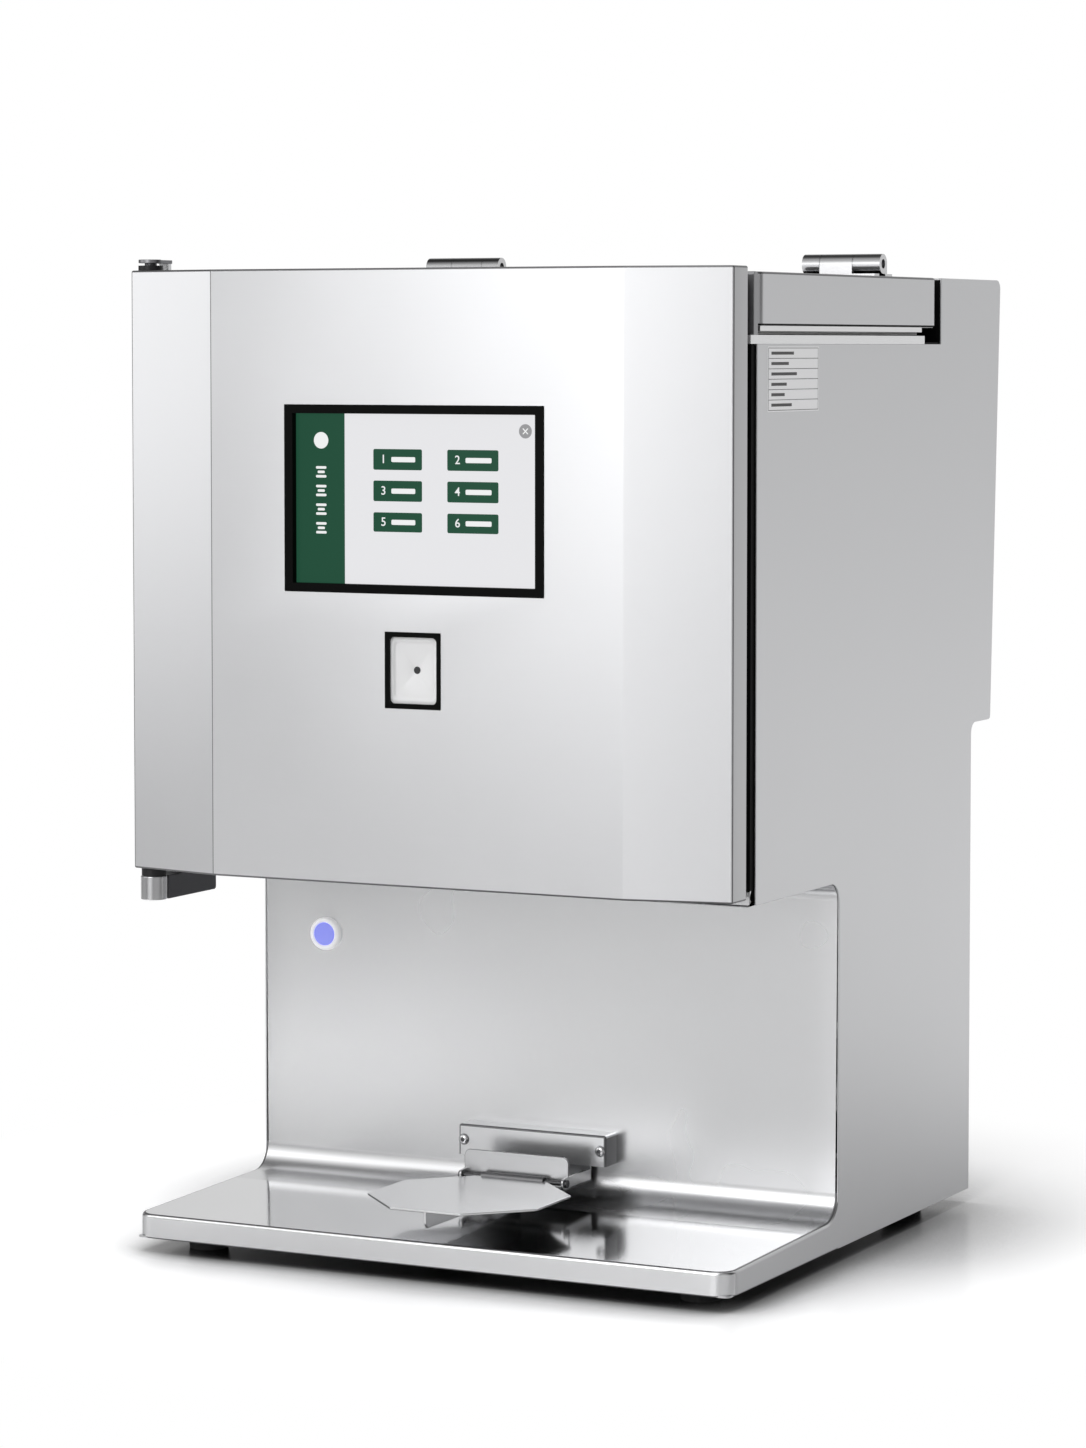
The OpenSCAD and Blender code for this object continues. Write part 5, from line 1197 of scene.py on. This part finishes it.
        # The rib runs from the front corner to behind the pin, where it stops against the carrier.
        foot = under + 0.5 * MM
        keel = under - 13 * MM
        notch = top - 6.9 * MM
        heel = PIN_Y + 11 * MM
        rib = [(low.y, foot), (low.y, under - 9 * MM), (low.y + 4 * MM, keel), (PIN_Y + 5 * MM, keel),
               (heel, top - 11.5 * MM), (heel, notch), (PIN_Y + 2 * MM, notch), (PIN_Y, foot)]
        if keel < low.z - 0.1 * MM:
            raise RuntimeError("the rib reaches below its CAD node")
        rest.prism(soft_outline(rib, 0.6 * MM, 3), -1 * MM, 1 * MM, SIDE, 0.4 * MM)
        rest.build("cup_octagon", ["plate_steel", "painted_dark_edge"], "cup_rest", ["cup_plate"])


class DISPENSER_OT_label(bpy.types.Operator):
    """Lays a blank ruled plate on the right side panel"""
    bl_idname = "dispenser.label"
    bl_label = "Blank label"

    def execute(self, context):
        left = FRONT + 20 * MM
        right = FRONT + 121 * MM
        low = 697 * MM
        high = 748 * MM
        face = HALF_W - FILM
        plate = Shell()
        middle = ((left + right) / 2, (low + high) / 2)
        outline = soft_outline(rectangle(middle, right - left, high - low), 0.8 * MM, 4)
        plate.prism(outline, face - 0.05 * MM, face + 0.06 * MM, SIDE, 0.03 * MM, 2)
        rows = np.linspace(high - 1.2 * MM, low + 1.2 * MM, 7)
        # Ruled lines between the rows, a line down each edge, and a plain bar in each row.
        ink = 1
        inset = 1.5 * MM
        marks = [(middle[0], row, right - left - 2 * inset, 0.5 * MM) for row in rows]
        marks += [(x, middle[1], 0.6 * MM, high - low - 2 * MM) for x in (left + inset, right - inset)]
        for row, wide in zip(rows[:-1], np.array([44, 34, 50, 30, 26, 40]) * MM):
            marks.append((left + 7 * MM + wide / 2, row - 4 * MM, wide, 2.4 * MM))
        for across, up, wide, tall in marks:
            line = rectangle((across, up), wide, tall)
            plate.prism(line, face, face + 0.08 * MM, SIDE, 0.01 * MM, 1, ink)
        plate.build("blank_label", ["label_film", "label_line"], "cabinet")
        return {"FINISHED"}


class DISPENSER_OT_stage(bpy.types.Operator):
    """Sets up the pale floor, the studio light and the camera"""
    bl_idname = "dispenser.stage"
    bl_label = "Stage"

    # Soft boxes: place, aim, width, height, power in watts and spread in degrees.
    lamps = {
        "front": ((-0.30, -1.50, 0.90), (0.0, -0.25, 0.6), 1.0, 1.5, 7.2, 180),
        "left": ((-1.50, -1.10, 0.95), (-0.2, -0.25, 0.6), 1.2, 1.6, 8.0, 180),
        "top": ((0.0, -0.30, 2.20), (0.0, -0.1, 0.4), 1.6, 1.6, 8.4, 180),
        "floor_left": ((-0.60, -0.75, 0.80), (-0.60, -0.76, 0.0), 0.4, 0.4, 2.4, 60),
    }
    # Bright fields of the room: bearing from the front, height and half width in degrees, and strength.
    # The first is the white backdrop.
    fields = ((180, 8, 75, 0.86), (5, 22, 22, 1.68), (-15, 50, 35, 1.17), (-22, 22, 22, 0.64),
              (-10, 4, 22, 0.98), (-70, 8, 42, 0.43), (50, 8, 42, 0.45), (0, 90, 60, 0.25))
    # Camera: place and aim in metres, lens in millimetres, and shift as a share of the frame.
    camera_place = (1.66045, -3.37411, 0.74728)
    camera_aim = (0.06393, -0.19177, 0.52952)
    camera_lens = 110.14
    camera_shift = -0.07296

    def execute(self, context):
        look = context.scene.dispenser_stage
        turn = np.linspace(0, 2 * np.pi, 96, endpoint=False)
        reach = np.array([0.001, 0.4, 0.8, 1.2, 2, 4, 9])[:, None]
        points = np.stack([reach * np.cos(turn), reach * np.sin(turn), 0 * reach * turn], -1)
        ground = Shell()
        ground.grid(points, around=True, flip=True)
        ground.cap(points[0])
        mesh = ground.mesh("floor")
        floor = bpy.data.objects.new("floor", mesh)
        context.scene.collection.objects.link(floor)
        mesh.materials.append(self.floor_white(tuple(look.floor)))
        self.studio_world(context.scene, look.room)
        for name, (place, aim, width, height, power, spread) in self.lamps.items():
            self.lamp(name, place, aim, width, height, power * look.lamps, spread)
        camera = bpy.data.cameras.new("camera")
        camera.sensor_width = 36.0
        camera.lens = self.camera_lens
        camera.shift_y = self.camera_shift
        camera.clip_end = 60.0
        seat = bpy.data.objects.new("camera", camera)
        seat.location = self.camera_place
        aim = Vector(self.camera_aim) - seat.location
        seat.rotation_euler = aim.to_track_quat("-Z", "Y").to_euler()
        context.scene.collection.objects.link(seat)
        context.scene.camera = seat
        context.scene.view_settings.view_transform = "Standard"
        return {"FINISHED"}

    def floor_white(self, colour):
        """Smooth white floor. To the camera it is a white sheet that still takes the machine's shadow.

        Near the machine it is lit by the lamps, and to the camera it takes painted shade in its nooks from
        ambient occlusion.
        Further off it fades to plain white, and behind the machine it is white in reflections too.
        """
        material, g = new_graph("floor_white")
        spot = g.place()
        clouds = g.noise(spot, 3.0, 2.0)
        tone = g.blend(clouds, shaded(colour, 0.995), shaded(colour, 1.005))
        seen = g.node("ShaderNodeLightPath", output="Is Camera Ray")
        # For the camera, ambient occlusion darkens the floor in its nooks: painted shade.
        nook = g.node("ShaderNodeAmbientOcclusion", {"samples": 12}, {"Distance": 0.2}, "AO")
        level = (nook ** 2.3 * 2.4 - 1) * seen + 1
        sheet = g.node("ShaderNodeVectorMath", {"operation": "SCALE"}, {0: tone, "Scale": level}, "Vector")
        gloss = g.node("ShaderNodeBsdfPrincipled", None,
                       {"Base Color": sheet, "Roughness": 0.22, "Specular IOR Level": 0.3})
        white = g.node("ShaderNodeEmission", None, {"Color": (1, 1, 1, 1), "Strength": 1.0})
        away = g.node("ShaderNodeVectorMath", {"operation": "LENGTH"}, {0: spot}, "Value")
        behind = g.node("ShaderNodeSeparateXYZ", None, {0: spot}, "Y").between(0.15, 1.1)
        mirrored = g.node("ShaderNodeLightPath", output="Is Glossy Ray") * behind
        through = g.node("ShaderNodeLightPath", output="Is Transmission Ray")
        far = away.between(0.33, 0.68) * (seen + through) + mirrored
        mixed = g.node("ShaderNodeMixShader", None, {0: far, 1: gloss, 2: white})
        g.node("ShaderNodeOutputMaterial", None, {"Surface": mixed})
        return material

    def studio_world(self, scene, level):
        """A dark room with soft bright fields and a white backdrop.

        To the camera, and through glass, it is white.
        """
        world = bpy.data.worlds.new("studio")
        scene.world = world
        world.use_nodes = True
        g = Graph(world.node_tree)
        way = g.node("ShaderNodeTexCoord", output="Generated")
        room = 0.0
        for bearing, height, half, strength in self.fields:
            turn, rise, width = np.radians([bearing, height, half])
            aim = (np.sin(turn) * np.cos(rise), -np.cos(turn) * np.cos(rise), np.sin(rise))
            near = g.node("ShaderNodeVectorMath", {"operation": "DOT_PRODUCT"}, {0: way, 1: aim}, "Value")
            room = near.between(float(np.cos(width)), 1.0) * (strength * level) + room
        seen = g.node("ShaderNodeLightPath", output="Is Camera Ray")
        through = g.node("ShaderNodeLightPath", output="Is Transmission Ray")
        strength = room + (1 - room) * seen.math("MAXIMUM", seen, through)
        shade = g.node("ShaderNodeBackground", None, {"Color": (1, 1, 1, 1), "Strength": strength})
        g.node("ShaderNodeOutputWorld", None, {"Surface": shade})

    def lamp(self, name, place, target, width, height, power, spread):
        """A rectangular soft box aimed at a point. It fades from its middle to its edges."""
        light = bpy.data.lights.new(name, "AREA")
        light.shape = "RECTANGLE"
        light.size = width
        light.size_y = height
        light.energy = power
        light.spread = np.radians(spread)
        light.use_nodes = True
        g = Graph(light.node_tree)
        spot = g.node("ShaderNodeNewGeometry", output="Parametric")
        fade = 1.0
        for axis in "XY":
            part = g.node("ShaderNodeSeparateXYZ", None, {0: spot}, axis)
            fade = (part * (1 - part)).between(0.0, 0.25) * fade
        glow = g.node("ShaderNodeEmission", None, {"Strength": fade})
        g.node("ShaderNodeOutputLight", None, {"Surface": glow})
        holder = bpy.data.objects.new(name, light)
        holder.location = place
        holder.rotation_euler = (Vector(target) - Vector(place)).to_track_quat("-Z", "Y").to_euler()
        bpy.context.scene.collection.objects.link(holder)


class DISPENSER_PT_panel(bpy.types.Panel):
    """Lists the sizes, colours and building steps of the dispenser"""
    bl_idname = "DISPENSER_PT_panel"
    bl_label = "Yogurt dispenser"
    bl_space_type = "VIEW_3D"
    bl_region_type = "UI"
    bl_category = "Dispenser"

    def draw(self, context):
        for group in GROUPS:
            settings = getattr(context.scene, group)
            box = self.layout.box()
            for name in settings.__annotations__:
                box.prop(settings, name)
        for step in STEPS:
            self.layout.operator(step.bl_idname)


GROUPS = {
    "dispenser_casing": CasingSizes,
    "dispenser_door": DoorSizes,
    "dispenser_steel": SteelFinish,
    "dispenser_screen": ScreenColours,
    "dispenser_stage": StageLook,
}
STEPS = (
    DISPENSER_OT_carried,
    DISPENSER_OT_deck,
    DISPENSER_OT_side_panels,
    DISPENSER_OT_door,
    DISPENSER_OT_lid,
    DISPENSER_OT_button,
    DISPENSER_OT_screen,
    DISPENSER_OT_scanner,
    DISPENSER_OT_hinge_arm,
    DISPENSER_OT_hinge_plate,
    DISPENSER_OT_cup_rest,
    DISPENSER_OT_label,
    DISPENSER_OT_stage,
)


def register():
    """Registers the classes and hangs the settings on the scene."""
    for group, kind in GROUPS.items():
        bpy.utils.register_class(kind)
        setattr(bpy.types.Scene, group, PointerProperty(type=kind))
    for step in STEPS:
        bpy.utils.register_class(step)
    bpy.utils.register_class(DISPENSER_PT_panel)


def unregister():
    """Takes the classes and settings away again."""
    bpy.utils.unregister_class(DISPENSER_PT_panel)
    for step in reversed(STEPS):
        bpy.utils.unregister_class(step)
    for group, kind in GROUPS.items():
        delattr(bpy.types.Scene, group)
        bpy.utils.unregister_class(kind)


def main():
    """Builds the pieces and the stage."""
    register()
    for step in STEPS:
        group, name = step.bl_idname.split(".")
        getattr(getattr(bpy.ops, group), name)()


if __name__ == "__main__":
    main()
